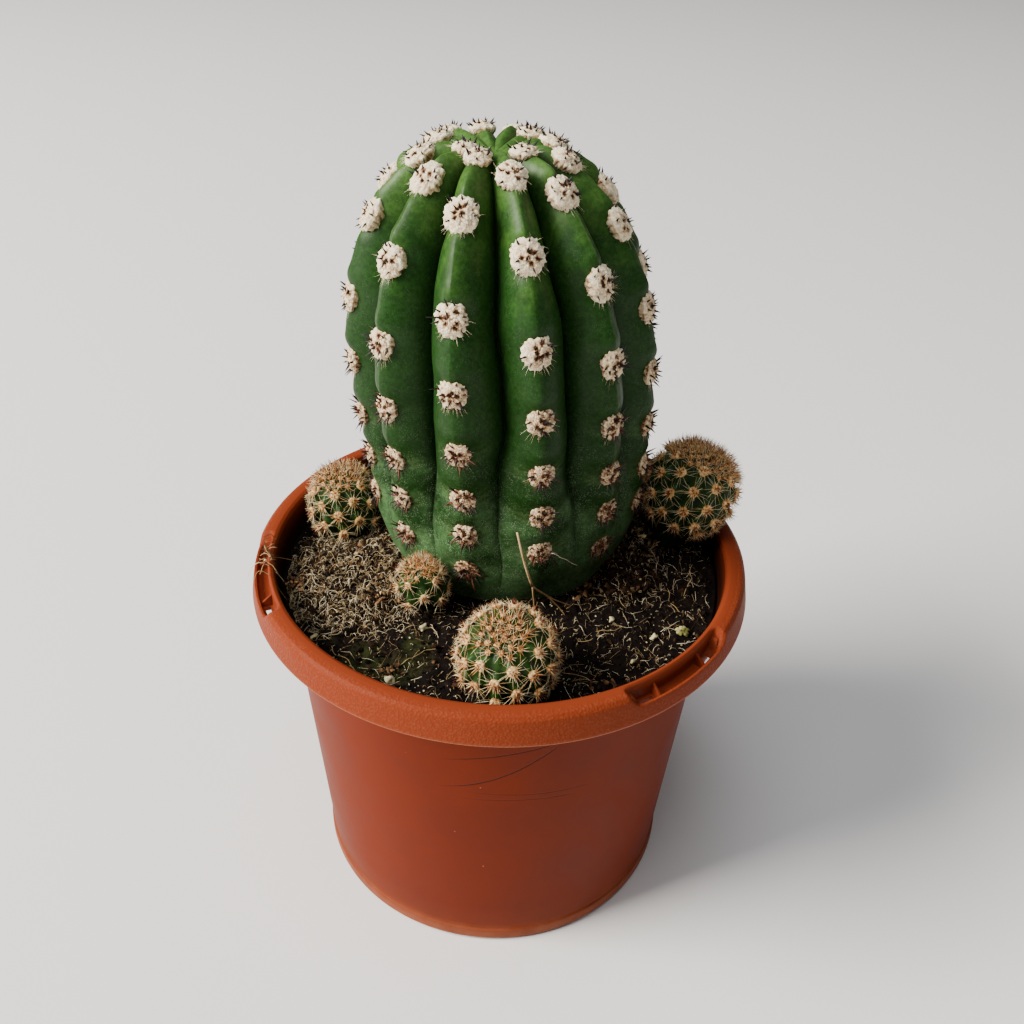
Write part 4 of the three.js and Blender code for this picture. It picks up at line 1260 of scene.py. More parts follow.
    def areoles(self) -> Areoles:
        """Every areole of the stem, seated where the solids have it.

        Returns:
            The areoles.
        """
        rib = np.concatenate([np.full(len(self.areoles_of(r)), r) for r in range(self.ribs)])
        along = np.concatenate([self.areoles_of(r) for r in range(self.ribs)])
        radius, height, out_r, out_z = self.outline.at(along)
        angle = self.rib_angle(rib)
        sink = -self.swell(rib, along) * smooth(along / 30.0)
        points = self.around(angle, radius - out_r * sink, height - out_z * sink)
        out = unit(np.stack([out_r * np.sin(angle), -out_r * np.cos(angle), out_z], -1))
        east = np.stack([np.cos(angle), np.sin(angle), np.zeros_like(angle)], -1)
        young = 1.0 - smooth((along - 30.0) / 80.0)
        size = (self.areole_mm + self.young_growth_mm * young) * (0.76 + 0.24 * smooth((along - 9.0) / 22.0))
        age = 1.0 - young + 0.5 * smooth((along - 128.0) / 5.0)
        return Areoles(points, east, np.cross(out, east), out, size, 0.56 * size, age)

    def build_wool(self) -> None:
        """Put the woolly domes on the areoles."""
        points, faces, tone = self.areoles().wool(self.curds, self.pit_spines, 17, 46, 61)
        finish_piece(make_piece("stem_wool", points, faces, {"tone": tone}), self.looks.wool)

    def build_spines(self) -> None:
        """Set a ring of short cones round each areole and a few in its pits."""
        areoles = self.areoles()
        rng = np.random.default_rng(63)
        ring = np.repeat(np.arange(len(areoles.points)), self.ring_spines)
        turn = np.tile(np.arange(self.ring_spines) * TURN / self.ring_spines, len(areoles.points))
        turn += rng.normal(0.0, 0.2, len(ring))
        keep = rng.uniform(0.0, 1.0, len(ring)) > 0.5 - 0.35 * areoles.age[ring]
        ring, turn = ring[keep], turn[keep]
        count = len(ring)
        spread = areoles.radius[ring] * rng.uniform(0.6, 0.9, count)
        length = rng.uniform(1.0, 1.8, count) + areoles.age[ring] * rng.uniform(0.4, 1.8, count)
        outer = areoles.tufts(ring, spread, turn, rng.uniform(0.3, 1.3, count), length,
                              rng.uniform(0.3, 0.42, count), rng.uniform(-0.1, 0.12, count))
        outer_tone = strand_tone(areoles.age[ring] * rng.uniform(0.0, 0.62, count), outer[0],
                                 (0.35, 0.1, 0.0, 0.0))
        pits = areoles.pits(self.pit_spines).reshape(-1, 2)
        middle = np.repeat(np.arange(len(areoles.points)), self.pit_spines)
        chosen = rng.uniform(0.0, 1.0, len(middle)) > 0.2
        pits, middle = pits[chosen], middle[chosen]
        count = len(middle)
        grown = 0.75 + 0.25 * np.minimum(1.0, areoles.age[middle])
        inner = areoles.tufts(middle, areoles.radius[middle] * np.hypot(*pits.T), np.arctan2(*pits.T[::-1]),
                              rng.uniform(0.6, 2.6, count), rng.uniform(1.3, 2.3, count) * grown,
                              rng.uniform(0.38, 0.56, count) * grown, np.zeros(count))
        inner_tone = strand_tone(areoles.age[middle] * rng.uniform(0.0, 0.6, count), inner[0],
                                 (0.5, 0.2, 0.0, 0.0))
        points, faces = joined([outer, inner])
        piece = make_piece("stem_spines", points, faces, {"tone": np.concatenate([outer_tone, inner_tone])})
        finish_piece(piece, self.looks.dark)

    def build_hairs(self) -> None:
        """Add the fringe of fine hairs under each areole and the wool's loose ends."""
        areoles = self.areoles()
        rng = np.random.default_rng(65)
        index = np.repeat(np.arange(len(areoles.points)), self.hairs)
        count = len(index)
        fringe = np.tile(np.arange(self.hairs) < self.fringe_hairs, len(areoles.points))
        angle = np.where(fringe, rng.normal(-TURN / 4, 0.6, count), rng.uniform(0.0, TURN, count))
        start = areoles.radius[index] * np.where(fringe, rng.uniform(0.8, 1.0, count),
                                                 np.sqrt(rng.uniform(0.01, 0.96, count)))
        length = np.where(fringe, rng.uniform(1.0, 2.2, count), rng.uniform(1.1, 1.9, count))
        veer = np.where(fringe, 0.0, rng.uniform(0.0, TURN, count))
        points, faces = areoles.tufts(index, start, angle, np.where(fringe, 0.15, rng.uniform(0.1, 0.9, count)),
                                      length, np.full(count, 0.045), rng.uniform(-0.1, 0.35, count), veer)
        tone = each_point(areoles.age[index] * 0.4 + rng.normal(0.08, 0.16, count), points)
        finish_piece(make_piece("stem_hairs", points, faces, {"tone": tone}), self.looks.wool)


# ---- offsets


@dataclass
class Offset:
    """A small round plant beside the stem: low ribs cut into knobs, each with wool and needles."""

    looks: Finishes
    soil: SoilBed
    name: str
    foot: tuple[float, float, float]
    lean: tuple[float, float]
    radius: float
    length: float
    ribs: int
    seed: int
    crown: float
    # Tone of the dark needles at the apex.
    apex_needle_tone: float = 0.85
    shape: tuple[tuple[float, float], ...] = (
        (0, 0.96), (0.28, 1), (0.62, 0.92), (0.86, 0.76), (0.99, 0.55), (0.98, 0.36), (0.86, 0.16),
        (0.66, 0.02), (0.42, -0.18), (0.3, -0.45), (0.12, -0.8),
    )
    half_pitch: float = 3.2
    body_share: float = 0.64
    knob_rise: float = 1.4
    knob_clearance: float = 3.4
    skin_rows: int = 110
    columns_per_rib: int = 14
    outline: Outline = field(init=False)
    axes: Array = field(init=False)

    def __post_init__(self) -> None:
        """Work out the outline and the leaning frame."""
        self.outline = Outline([(r * self.radius, h * self.length) for r, h in self.shape])
        axis = unit(np.array([*self.lean, 1.0]))
        self.axes = self.turn_to(axis)

    @staticmethod
    def turn_to(axis: Array) -> Array:
        """The shortest turn from +Z to an axis, as the images of X, Y and Z in rows.

        Args:
            axis: The axis, of length 1.

        Returns:
            The three images.
        """
        x, y, z = axis
        share = 1.0 / (1.0 + z)
        return np.array([[1 - x * x * share, -x * y * share, -x],
                         [-x * y * share, 1 - y * y * share, -y], axis])

    @property
    def body_rows(self) -> int:
        """Rows of areoles from the apex down to the foot, every other one on a rib."""
        return round(self.outline.length * self.body_share / self.half_pitch)

    def row_length(self, row: Array) -> Array:
        """Length along the outline at a row."""
        return row * self.outline.length * self.body_share / self.body_rows

    def place(self, local: Array) -> Array:
        """Points of the upright offset, leaned and moved to its foot."""
        return np.array(self.foot) + local @ self.axes

    def turned_point(self, along: Array, angle: Array, rise: Array) -> Array:
        """A point of the skin at a length along the outline, turned round and moved outward.

        Args:
            along: Lengths along the outline.
            angle: Turns about the axis.
            rise: Distances out of the skin.

        Returns:
            The points, before the offset leans.
        """
        radius, height, out_r, out_z = self.outline.at(along)
        reach = radius + out_r * rise
        return np.stack([reach * np.cos(angle), reach * np.sin(angle), height + out_z * rise], -1)

    def crossings(self) -> tuple[Array, Array]:
        """Rows and ribs of the full-grown areoles: below the crown and clear of the soil.

        Returns:
            The row and the rib of each.
        """
        row, rib = np.meshgrid(np.arange(1, self.body_rows), np.arange(self.ribs), indexing="ij")
        row, rib = row.ravel(), rib.ravel()
        used = ((row + rib) % 2 == 0) & (self.row_length(row) > self.crown)
        world = self.place(self.turned_point(self.row_length(row), rib * TURN / self.ribs, np.zeros(len(row))))
        used &= world[:, 2] > self.soil.height(world[:, 0], world[:, 1]) + self.knob_clearance
        return row[used], rib[used]

    def build_skin(self) -> None:
        """Make the body: a knob at each areole, low furrows between the ribs."""
        row, rib = self.crossings()
        rows, columns = self.skin_rows, self.ribs * self.columns_per_rib
        along = self.outline.length * (1.0 - (np.arange(rows) + 0.3) / rows)
        angle = np.arange(columns) * TURN / columns
        grid_along, grid_angle = np.broadcast_arrays(along[:, None], angle[None])
        radius = self.outline.at(grid_along)[0]
        turn = (grid_angle[..., None] - rib * TURN / self.ribs + math.pi) % TURN - math.pi
        gap = np.hypot(turn * np.maximum(radius, 2.0)[..., None], grid_along[..., None] - self.row_length(row))
        knobs = np.exp(-((gap / (0.62 * self.half_pitch)) ** 2)).max(-1)
        furrow = 0.5 - 0.5 * np.cos(grid_angle * self.ribs)
        above = smooth((self.outline.length * self.body_share - grid_along) / 4.0)
        rise = self.knob_rise * knobs - above * furrow * 0.07 * radius
        local = self.turned_point(grid_along, grid_angle, rise)
        points = self.place(local)
        points += 0.1 * rough_noise(points, (3.0, 1.2), self.seed)[..., None]
        ends = self.place(np.array([[0, 0, self.outline.at(self.outline.length)[1] - 0.6],
                                    [0, 0, self.outline.at(0.0)[1] + 0.2]]))
        masks = {
            "age": smooth(grid_along / (self.outline.length * self.body_share)) * 0.8,
            # groove: painted shade between the knobs and in the furrows; line: painted highlight on the knobs'
            # tops.
            "groove": (1.0 - knobs) * (0.35 + 0.4 * furrow),
            "line": knobs * 0.25,
            "dust": np.zeros_like(knobs),
        }
        flat, faces = capped_grid(points, ends[0], ends[1])
        full = {key: np.append(value.ravel(), [1.0, 0.0]) for key, value in masks.items()}
        piece = make_piece(f"{self.name}_skin", flat, faces, full)
        finish_piece(piece, self.looks.offset_skin, [self.name])

    def seated(
        self, along: Array, angle: Array, rise: float, size: tuple[float, float], age: Array
    ) -> Areoles:
        """Areoles at places of the skin, with their frames in the part's own directions.

        Args:
            along: Lengths along the outline.
            angle: Turns about the axis.
            rise: Distance out of the plain skin.
            size: Radius and rise of their pads.
            age: Age of each, from 0 to 1.

        Returns:
            The areoles.
        """
        _, _, out_r, out_z = self.outline.at(along)
        points = self.place(self.turned_point(along, angle, np.full(len(along), rise)))
        out = unit(np.stack([out_r * np.cos(angle), out_r * np.sin(angle), out_z], -1))
        east = np.stack([-np.sin(angle), np.cos(angle), np.zeros_like(angle)], -1)
        radius, height = (np.full(len(along), value) for value in size)
        frames = [axis @ self.axes for axis in (east, np.cross(out, east), out)]
        return Areoles(points, *frames, radius, height, age)

    def areoles(self) -> Areoles:
        """The full-grown areoles on the knobs.

        Returns:
            The areoles.
        """
        row, rib = self.crossings()
        size = 1.5 * min(1.0, (self.radius + 3.0) / 13.0)
        return self.seated(self.row_length(row), rib * TURN / self.ribs, self.knob_rise, (size, 0.55 * size),
                           smooth((row - 1.0) / 5.0))

    def build_wool(self) -> None:
        """Put a small pad of felt on each knob and on each young areole."""
        old = self.areoles().wool(12, 3, 7, 20, self.seed + 70)
        young = self.apex().wool(8, 2, 6, 16, self.seed + 75)
        points, faces = joined([old[:2], young[:2]])
        piece = make_piece(f"{self.name}_wool", points, faces, {"tone": np.concatenate([old[2], young[2]])})
        finish_piece(piece, self.looks.down)

    def apex(self) -> Areoles:
        """The young areoles crowded on a spiral from the apex out to the edge of the crown.

        Returns:
            The areoles.
        """
        pitch = 2.5 * min(1.0, (self.radius + 6.0) / 16.0)
        count = max(7, round(math.pi * self.crown**2 / pitch**2))
        step = np.arange(count)
        angle = step * GOLDEN_TURN
        along = self.crown * np.sqrt((step + 0.3) / count)
        return self.seated(along, angle, 0.5, (0.34 * pitch, 0.17 * pitch), np.ones(count))

    def needles(
        self, areoles: Areoles, each: int, lift: tuple[float, float], length: tuple[float, float],
        thick: float, tone: float, ramp: Sequence[float], rng: np.random.Generator,
        spread: tuple[float, float] = (0.3, 0.9),
    ) -> tuple[Array, list[Array], Array]:
        """A ring of needles round each of some areoles.

        Args:
            areoles: Where they grow.
            each: Needles round one areole.
            lift: Least and most rise out of the skin.
            length: Least and most length.
            thick: Radius at the root.
            tone: Middle tone.
            ramp: Change of the tone from root to tip.
            rng: Source of the random spread.
            spread: Least and most distance of the roots, in shares of the pad's radius.

        Returns:
            The points, the faces and the tones.
        """
        index = np.repeat(np.arange(len(areoles.points)), each)
        count = len(index)
        turn = np.tile(np.arange(each) * TURN / each, len(areoles.points)) + rng.normal(0.0, 0.14, count)
        start = areoles.radius[index] * rng.uniform(*spread, count)
        points, faces = areoles.tufts(index, start, turn, rng.uniform(*lift, count), rng.uniform(*length, count),
                                      np.full(count, thick), rng.uniform(-0.02, 0.05, count))
        return points, faces, strand_tone(tone + rng.normal(0.0, 0.15, count), points, ramp)

    def build_needles(self) -> None:
        """Fan long needles from each pad, with short ones in its middle, dense at the apex."""
        areoles = self.areoles()
        rng = np.random.default_rng(self.seed + 80)
        scale = min(1.0, (self.radius + 4.0) / 12.0)
        long, stubs, short, young = (
            (low * scale, high * scale) for low, high in ((2.6, 4.4), (0.9, 1.8), (1.2, 2.3), (1.6, 3.4)))
        apex = self.apex()
        sets = [
            self.needles(areoles, 13, (0.05, 0.4), long, 0.06, 0.0, (0.3, 0.05, 0.0, 0.05), rng, (0.6, 0.95)),
            self.needles(areoles, 15, (0.5, 2.2), stubs, 0.14, 0.16, (0.1, 0.0, 0.0, 0.1), rng),
            self.needles(areoles, 5, (1.2, 5.0), short, 0.2, 0.9, (-0.1, 0.0, 0.05, 0.1), rng, (0.0, 0.7)),
            self.needles(apex, 10, (0.4, 2.2), young, 0.1, 0.12, (0.2, 0.0, 0.0, 0.12), rng),
            self.needles(apex, 7, (1.0, 5.0), young, 0.14, self.apex_needle_tone, (-0.2, -0.05, 0.05, 0.15), rng),
        ]
        points, faces = joined([(one[0], one[1]) for one in sets])
        tones = np.concatenate([one[2] for one in sets])
        piece = make_piece(f"{self.name}_needles", points, faces, {"tone": tones})
        finish_piece(piece, self.looks.pale)


# ---- litter and small things on the soil


@dataclass
class Mat:
    """A mat of dry fibre, flakes and husk on the soil."""

    looks: Finishes
    soil: SoilBed
    name: str
    x: float
    y: float
    radius_x: float
    radius_y: float
    rise: float
    strands: int
    flakes: int
    crumbs: int
    slot: Slot
    seed: int
    thickest: float = 0.11
    thinnest: float = 0.04
    half_length: float = 0.4
    extra_length: float = 3.2
    arch_mm: float = 1.8
    pale_share: float = 0.44
    flake_sizes: tuple[tuple[float, ...], ...] = ((1.0, 0.5, 0.1), (2.6, 1.3, 0.22))
    crumb_sizes: tuple[tuple[float, ...], ...] = ((0.6, 0.5, 0.4), (1.9, 1.2, 1.0))

    def lift(self, x: Array, y: Array) -> Array:
        """Height of the mat above the soil: a low dome with an uneven edge and hollows.

        Args:
            x: Places across.
            y: Places in depth.

        Returns:
            Heights above the soil.
        """
        flat = ground(x, y)
        share = np.hypot((x - self.x) / self.radius_x, (y - self.y) / self.radius_y)
        share = share + 0.16 * lattice_noise(flat, 6.0, self.seed)
        hollows = 0.78 + 0.22 * lattice_noise(flat, 4.5, self.seed + 9)
        return self.rise * hollows * np.sqrt(np.clip(1.0 - share**2, 0.0, 1.0))

    def inside(self, count: int, rng: np.random.Generator, reach: float | Array) -> tuple[Array, Array]:
        """Random places within the mat's ellipse, kept off the pot's wall.

        Args:
            count: Number of places.
            rng: Source of the random spread.
            reach: Size of the ellipse that they fill; 1 is the mat's own.

        Returns:
            Places across and in depth.
        """
        share = reach * np.sqrt(rng.uniform(0.0, 1.0, count))
        angle = rng.uniform(0.0, TURN, count)
        x, y = self.x + self.radius_x * share * np.cos(angle), self.y + self.radius_y * share * np.sin(angle)
        return off_wall(x, y, 2.0)

    def core(self) -> tuple[Array, list[Array], Array]:
        """The mat's body: a polar grid over its ellipse, lifted as the mat and dipped at the edge.

        Returns:
            The points, the faces and the tone at each point.
        """
        share = 1.15 * (1.0 - np.arange(46) / 46.0)
        angle = np.arange(120) * TURN / 120
        x = self.x + self.radius_x * share[:, None] * np.cos(angle)
        y = self.y + self.radius_y * share[:, None] * np.sin(angle)
        x, y = off_wall(x, y, 1.2)
        flat = ground(x, y)
        rough = rough_noise(flat, (2.6, 1.3), self.seed + 11)
        edge = smooth((1.15 - share)[:, None] / 0.12)
        z = self.soil.crumbled(x, y) - 0.9 + (self.lift(x, y) + 0.7 * rough + 0.5) * edge
        middle = np.array([self.x, self.y, z[-1].mean()])
        points, faces = capped_grid(np.stack([x, y, z], -1), middle - [0.0, 0.0, self.rise + 2.0], middle)
        return points, faces, np.append(0.05 + 0.22 * rough.ravel(), [0.1, 0.1])

    def fibres(self, rng: np.random.Generator) -> tuple[Array, list[Array], Array]:
        """Curled fibres at all depths of the mat, most of them near its top.

        A fibre's path is a bend in the plane of the mat plus slow noise, over the mat's dome.

        Args:
            rng: Source of the random spread.

        Returns:
            The points, the faces and the tone at each point.
        """
        count, steps = self.strands, 5
        x, y = self.inside(count, rng, 1.0 + 0.45 * rng.uniform(0.0, 1.0, count) ** 1.5)
        step = np.linspace(-1.0, 1.0, steps)[None]
        turn = rng.uniform(0.0, TURN, count)[:, None] + rng.normal(0.0, 0.8, count)[:, None] * step
        reach = (self.half_length + self.extra_length * rng.uniform(0.0, 1.0, count) ** 2.5)[:, None]
        reach = reach * step
        px, py = off_wall(x[:, None] + reach * np.cos(turn), y[:, None] + reach * np.sin(turn), 1.4)
        level = self.soil.crumbled(px, py) + self.lift(px, py) * rng.uniform(0.7, 1.05, count)[:, None]
        arch = (self.arch_mm * rng.uniform(0.0, 1.0, count) ** 2)[:, None] * (1.0 - step**2)
        paths = np.stack([px, py, level + arch + 0.1], -1)
        paths += 0.45 * drifted(paths, 2.5, self.seed)
        thick = self.thinnest + (self.thickest - self.thinnest) * rng.uniform(0.0, 1.0, (count, 1)) ** 3
        points, faces = strands(paths, thick * np.linspace(1.0, 0.5, steps)[None], 3)
        tone = np.where(rng.uniform(0.0, 1.0, count) < self.pale_share, rng.uniform(0.66, 1.0, count),
                        rng.uniform(0.0, 0.34, count))
        return points, faces, each_point(tone, points)

    def scraps(
        self, rng: np.random.Generator, count: int, low: Sequence[float], high: Sequence[float], tilt: float
    ) -> tuple[Array, list[Array], Array]:
        """Uneven scraps strewn over the mat.

        Args:
            rng: Source of the random spread.
            count: Number of scraps.
            low: Least half sizes.
            high: Most half sizes.
            tilt: How far they lean.

        Returns:
            The points, the faces and the tone at each point.
        """
        x, y = self.inside(count, rng, 1.05)
        level = self.soil.crumbled(x, y) + self.lift(x, y) * rng.uniform(0.85, 1.02, count)
        centres = np.stack([x, y, level], -1)
        size = 0.45 + 0.55 * rng.uniform(0.0, 1.0, (count, 1)) ** 1.5
        radii = size * rng.uniform(low, high, (count, 3))
        points, faces = lumps(centres, turned_frames(count, rng, tilt), radii, 0.55, 1, self.seed + 5)
        tone = each_point(rng.normal(0.3, 0.25, count), points)
        return points, faces, tone

    def build(self) -> None:
        """Make the mat's body, its fibres and its scraps."""
        rng = np.random.default_rng(self.seed)
        points, faces, tone = self.core()
        piece = make_piece(f"{self.name}_body", points, faces, {"tone": tone})
        finish_piece(piece, self.looks.husk, [self.name])
        points, faces, tone = self.fibres(rng)
        piece = make_piece(f"{self.name}_fibres", points, faces, {"tone": tone})
        finish_piece(piece, self.looks.fibre)
        flakes = self.scraps(rng, self.flakes, *self.flake_sizes, 0.7)
        crumbs = self.scraps(rng, self.crumbs, *self.crumb_sizes, 0.5)
        for kind, (points, faces, tone), finish in (
            ("flakes", flakes, self.looks.fibre), ("crumbs", crumbs, self.looks.husk)
        ):
            piece = make_piece(f"{self.name}_{kind}", points, faces, {"tone": tone}, False)
            finish_piece(piece, finish)


@dataclass
class Trimmings:
    """The twig, the loose rootlets, the grains and the seedling."""

    looks: Finishes
    soil: SoilBed
    stalk: tuple[tuple[float, float, float], ...] = ((4.6, -26, 138.6), (6.6, -28, 131), (9.3, -26.5, 120.7))
    legs: tuple[tuple[tuple[float, float, float], ...], ...] = (
        ((9.3, -26.5, 120.7), (10.2, -24.6, 113), (10.4, -22.8, 107.6)),
        ((9.3, -26.5, 120.7), (15.6, -22.5, 112.4), (19.6, -22.4, 106.8)),
        ((9.3, -26.5, 120.7), (15, -22.6, 113.6), (21.5, -18.6, 107.6)),
    )
    stalk_radii: tuple[float, float] = (0.26, 0.4)
    leg_radii: tuple[float, ...] = (0.27, 0.23, 0.21)
    rootlets: tuple[tuple[float, float, float, float], ...] = (
        (30, -30, 20, 15), (52, -13, 105, 11), (22, -46, 160, 13), (57, -6, 70, 11), (-22, -42, 35, 13),
        (-41, -44, 140, 16),
    )
    grains: tuple[tuple[float, float, float], ...] = (
        (-28.6, -50.6, 1.7), (-25.6, -57, 1.3), (-21, -31, 1.5), (33, -23.6, 1.1), (45, -29, 1.2),
        (38, -41, 1.0), (28.3, -53.4, 1.6), (-52, -34, 1.1),
    )
    seedling_spot: tuple[float, float] = (53.6, -26.0)
    long_strands: tuple[tuple[tuple[float, float, float], ...], ...] = (
        ((14.6, -26, 132), (19.3, -20, 125.5), (26.8, -7.3, 111.5), (30, -5.8, 110)),
        ((-63.5, -14, 107.5), (-67.6, -15.4, 115.6), (-70.6, -16.2, 116.9), (-73.6, -17.4, 113.4)),
        ((-62, -20, 106.8), (-66.5, -19.8, 115.8), (-69.5, -20.4, 117), (-71.6, -20.6, 112.2)),
        ((-58, -4, 107.4), (-64.5, -9, 112.5), (-68.6, -11.6, 117.2), (-71.2, -14.4, 115.2)),
        ((-1.5, -27.5, 107.6), (4.2, -29.6, 109.4), (9.8, -29.4, 108.4), (15.8, -30.4, 107.4)),
    )
    husk_heaps: tuple[tuple[float, ...], ...] = (
        (24.7, -10.8, 1.7, 26, 0.0), (29.5, -49.5, 2.0, 12, 0.0), (2.0, -28.5, 6.0, 22, 0.0),
        (-35.4, -20.1, 2.0, 46, 1.6), (-60.4, -14.6, 1.6, 36, 1.2), (-28.0, -48.0, 2.6, 16, 0.0),
        (-15.5, -13.5, 2.4, 30, 0.4),
    )
    threads: int = 4100
    thread_steps: int = 4
    tangle: int = 16
    lug_middle: float = 69.5
    lug_lip: float = 116.4
    leaves: int = 13
    strand_radii: tuple[float, ...] = (0.11, 0.13, 0.1, 0.1, 0.16)
    strand_tones: tuple[float, ...] = (1.0, 0.85, 0.6, 0.5, 0.8)

    @staticmethod
    def soft_path(points: Array, steps: int) -> Array:
        """A smooth path by a few points: each coordinate is the square function that fits them best.

        Args:
            points: The points.
            steps: Points of the path.

        Returns:
            The path.
        """
        share = np.linspace(0.0, 1.0, len(points))
        fine = np.linspace(0.0, 1.0, steps)
        order = min(2, len(points) - 1)
        return np.stack([np.polyval(np.polyfit(share, points[:, axis], order), fine) for axis in range(3)], -1)

    def build_twig(self) -> None:
        """Make the forked twig: a stalk that thins upward and three thin legs."""
        paths = np.stack([self.soft_path(np.array(run, float), 12) for run in (self.stalk, *self.legs)])
        paths += 0.25 * drifted(paths, 4.0, 91)
        legs = np.array(self.leg_radii)[:, None] * np.linspace(1.0, 0.7, 12)
        radii = np.vstack([np.linspace(*self.stalk_radii, 12), legs])
        points, faces = strands(paths, radii, 8)
        tone = 0.3 + 0.4 * smooth((points[:, 2] - 112.0) / 20.0)
        piece = make_piece("dry_twig", points, faces, {"tone": tone})
        finish_piece(piece, self.looks.wood, ["twig"])

    def build_rootlets(self) -> None:
        """Make each named rootlet as a thin wavy thread where its solid lies."""
        for number, (x, y, turn, length) in enumerate(self.rootlets, 1):
            step = np.linspace(-0.5, 0.5, 14)
            bend = 0.12 * length * lattice_noise(np.stack([step * 4.0, step, step + number], -1), 1.0, 9)
            cos, sin = math.cos(math.radians(turn)), math.sin(math.radians(turn))
            px, py = x + step * length * cos - bend * sin, y + step * length * sin + bend * cos
            path = np.stack([px, py, self.soil.crumbled(px, py) + 0.6], -1)[None]
            points, faces = strands(path, np.linspace(0.1, 0.05, 14)[None], 5)
            piece = make_piece(f"dry_rootlet_{number}", points, faces, {"tone": np.full(len(points), 0.62)})
            finish_piece(piece, self.looks.fibre, [f"rootlet_{number}"])

    def build_grains(self) -> None:
        """Make each named grain as an uneven lump where its solid lies."""
        for number, (x, y, size) in enumerate(self.grains, 1):
            rng = np.random.default_rng(100 + number)
            level = self.soil.crumbled(np.array([x]), np.array([y]))[0] + 0.5 * size
            radii = size * rng.uniform([[0.7, 0.6, 0.5]], [[0.95, 0.8, 0.7]])
            points, faces = lumps(np.array([[x, y, level]]), turned_frames(1, rng), radii, 0.6, 3, 100 + number)
            tone = np.full(len(points), rng.uniform(0.2, 0.6))
            piece = make_piece(f"pale_grain_{number}", points, faces, {"tone": tone})
            finish_piece(piece, self.looks.grain, [f"grain_{number}"])

    def build_threads(self) -> None:
        """Strew fine rootlets over the whole bed, short dark ones and longer pale ones."""
        rng = np.random.default_rng(121)
        count, steps = self.threads, self.thread_steps
        step = np.linspace(-1.0, 1.0, steps)[None]
        x, y = self.soil.scatter(count, rng, 64.0)
        heading = rng.uniform(0.0, TURN, count)[:, None] + rng.normal(0.0, 0.25, count)[:, None] * step
        reach = (0.4 + 3.4 * rng.uniform(0.0, 1.0, count) ** 4)[:, None] * step
        px, py = off_wall(x[:, None] + reach * np.cos(heading), y[:, None] + reach * np.sin(heading), 1.0)
        lift = (1.2 * rng.uniform(0.0, 1.0, count) ** 2)[:, None] * (1.0 - step**2)
        paths = np.stack([px, py, self.soil.crumbled(px, py) + 0.25 + lift], -1)
        radii = rng.uniform(0.03, 0.07, count)[:, None] * np.linspace(1.0, 0.6, steps)[None]
        points, faces = strands(paths, radii, 3)
        tone = each_point(rng.normal(0.58, 0.38, count), points)
        finish_piece(make_piece("pale_threads", points, faces, {"tone": tone}), self.looks.fibre)

    def build_strands(self) -> None:
        """Lay the few long strands that stand out: by the stem's foot and over the left lug's lip."""
        paths = np.stack([self.soft_path(np.array(run, float), 24) for run in self.long_strands])
        paths += 0.3 * drifted(paths, 5.0, 141)
        radii = np.array(self.strand_radii)[:, None] * np.linspace(1.0, 0.6, 24)[None]
        points, faces = strands(paths, radii, 5)
        tone = each_point(np.array(self.strand_tones), points)
        finish_piece(make_piece("long_strands", points, faces, {"tone": tone}), self.looks.fibre)

    def build_lug_tangle(self) -> None:
        """Tangle dry fibres in the left lug, with ends that cross its lip."""
        rng = np.random.default_rng(151)
        count = self.tangle
        share = np.linspace(-1.0, 1.0, 9)[None]
        turn = np.radians(rng.uniform(181.0, 193.0, (count, 1))) + 0.06 * rng.normal(0, 1, (count, 1)) * share
        reach = 69.8 + rng.uniform(1.0, 2.7, count)[:, None] * share * rng.choice([-1.0, 1.0], (count, 1))
        off = np.abs(reach - self.lug_middle)
        level = self.lug_lip - 1.5 * smooth(off / 3.0) + rng.uniform(-0.2, 0.9, count)[:, None]
        paths = np.stack([reach * np.cos(turn), reach * np.sin(turn), level], -1)
        paths += 0.8 * drifted(paths, 2.2, 152)
        paths[..., 2] = np.maximum(paths[..., 2], self.lug_lip - 0.15 - 3.0 * smooth(off - 1.8))
        points, faces = strands(paths, rng.uniform(0.05, 0.12, count)[:, None] * np.ones((1, 9)), 4)
        tone = each_point(rng.normal(0.4, 0.25, count), points)
        finish_piece(make_piece("lug_tangle", points, faces, {"tone": tone}), self.looks.fibre)

    def build_husks(self) -> None:
        """Lay the small heaps of husk: middle, spread, number and lift of each in husk_heaps."""
        rng = np.random.default_rng(161)
        heaps = np.repeat(np.array(self.husk_heaps), [int(heap[3]) for heap in self.husk_heaps], axis=0)
        count = len(heaps)
        x = heaps[:, 0] + heaps[:, 2] * rng.normal(size=count)
        y = heaps[:, 1] + 1.7 * rng.normal(size=count)
        centres = np.stack([x, y, self.soil.crumbled(x, y) + heaps[:, 4] + rng.uniform(0.2, 1.5, count)], -1)
        radii = rng.uniform([0.6, 0.35, 0.14], [1.5, 0.8, 0.4], (count, 3))
        points, faces = lumps(centres, turned_frames(count, rng, 0.9), radii, 0.5, 1, 162)
        tone = each_point(rng.normal(0.65, 0.25, count), points)
        piece = make_piece("loose_husks", points, faces, {"tone": tone}, False)
        finish_piece(piece, self.looks.husk)

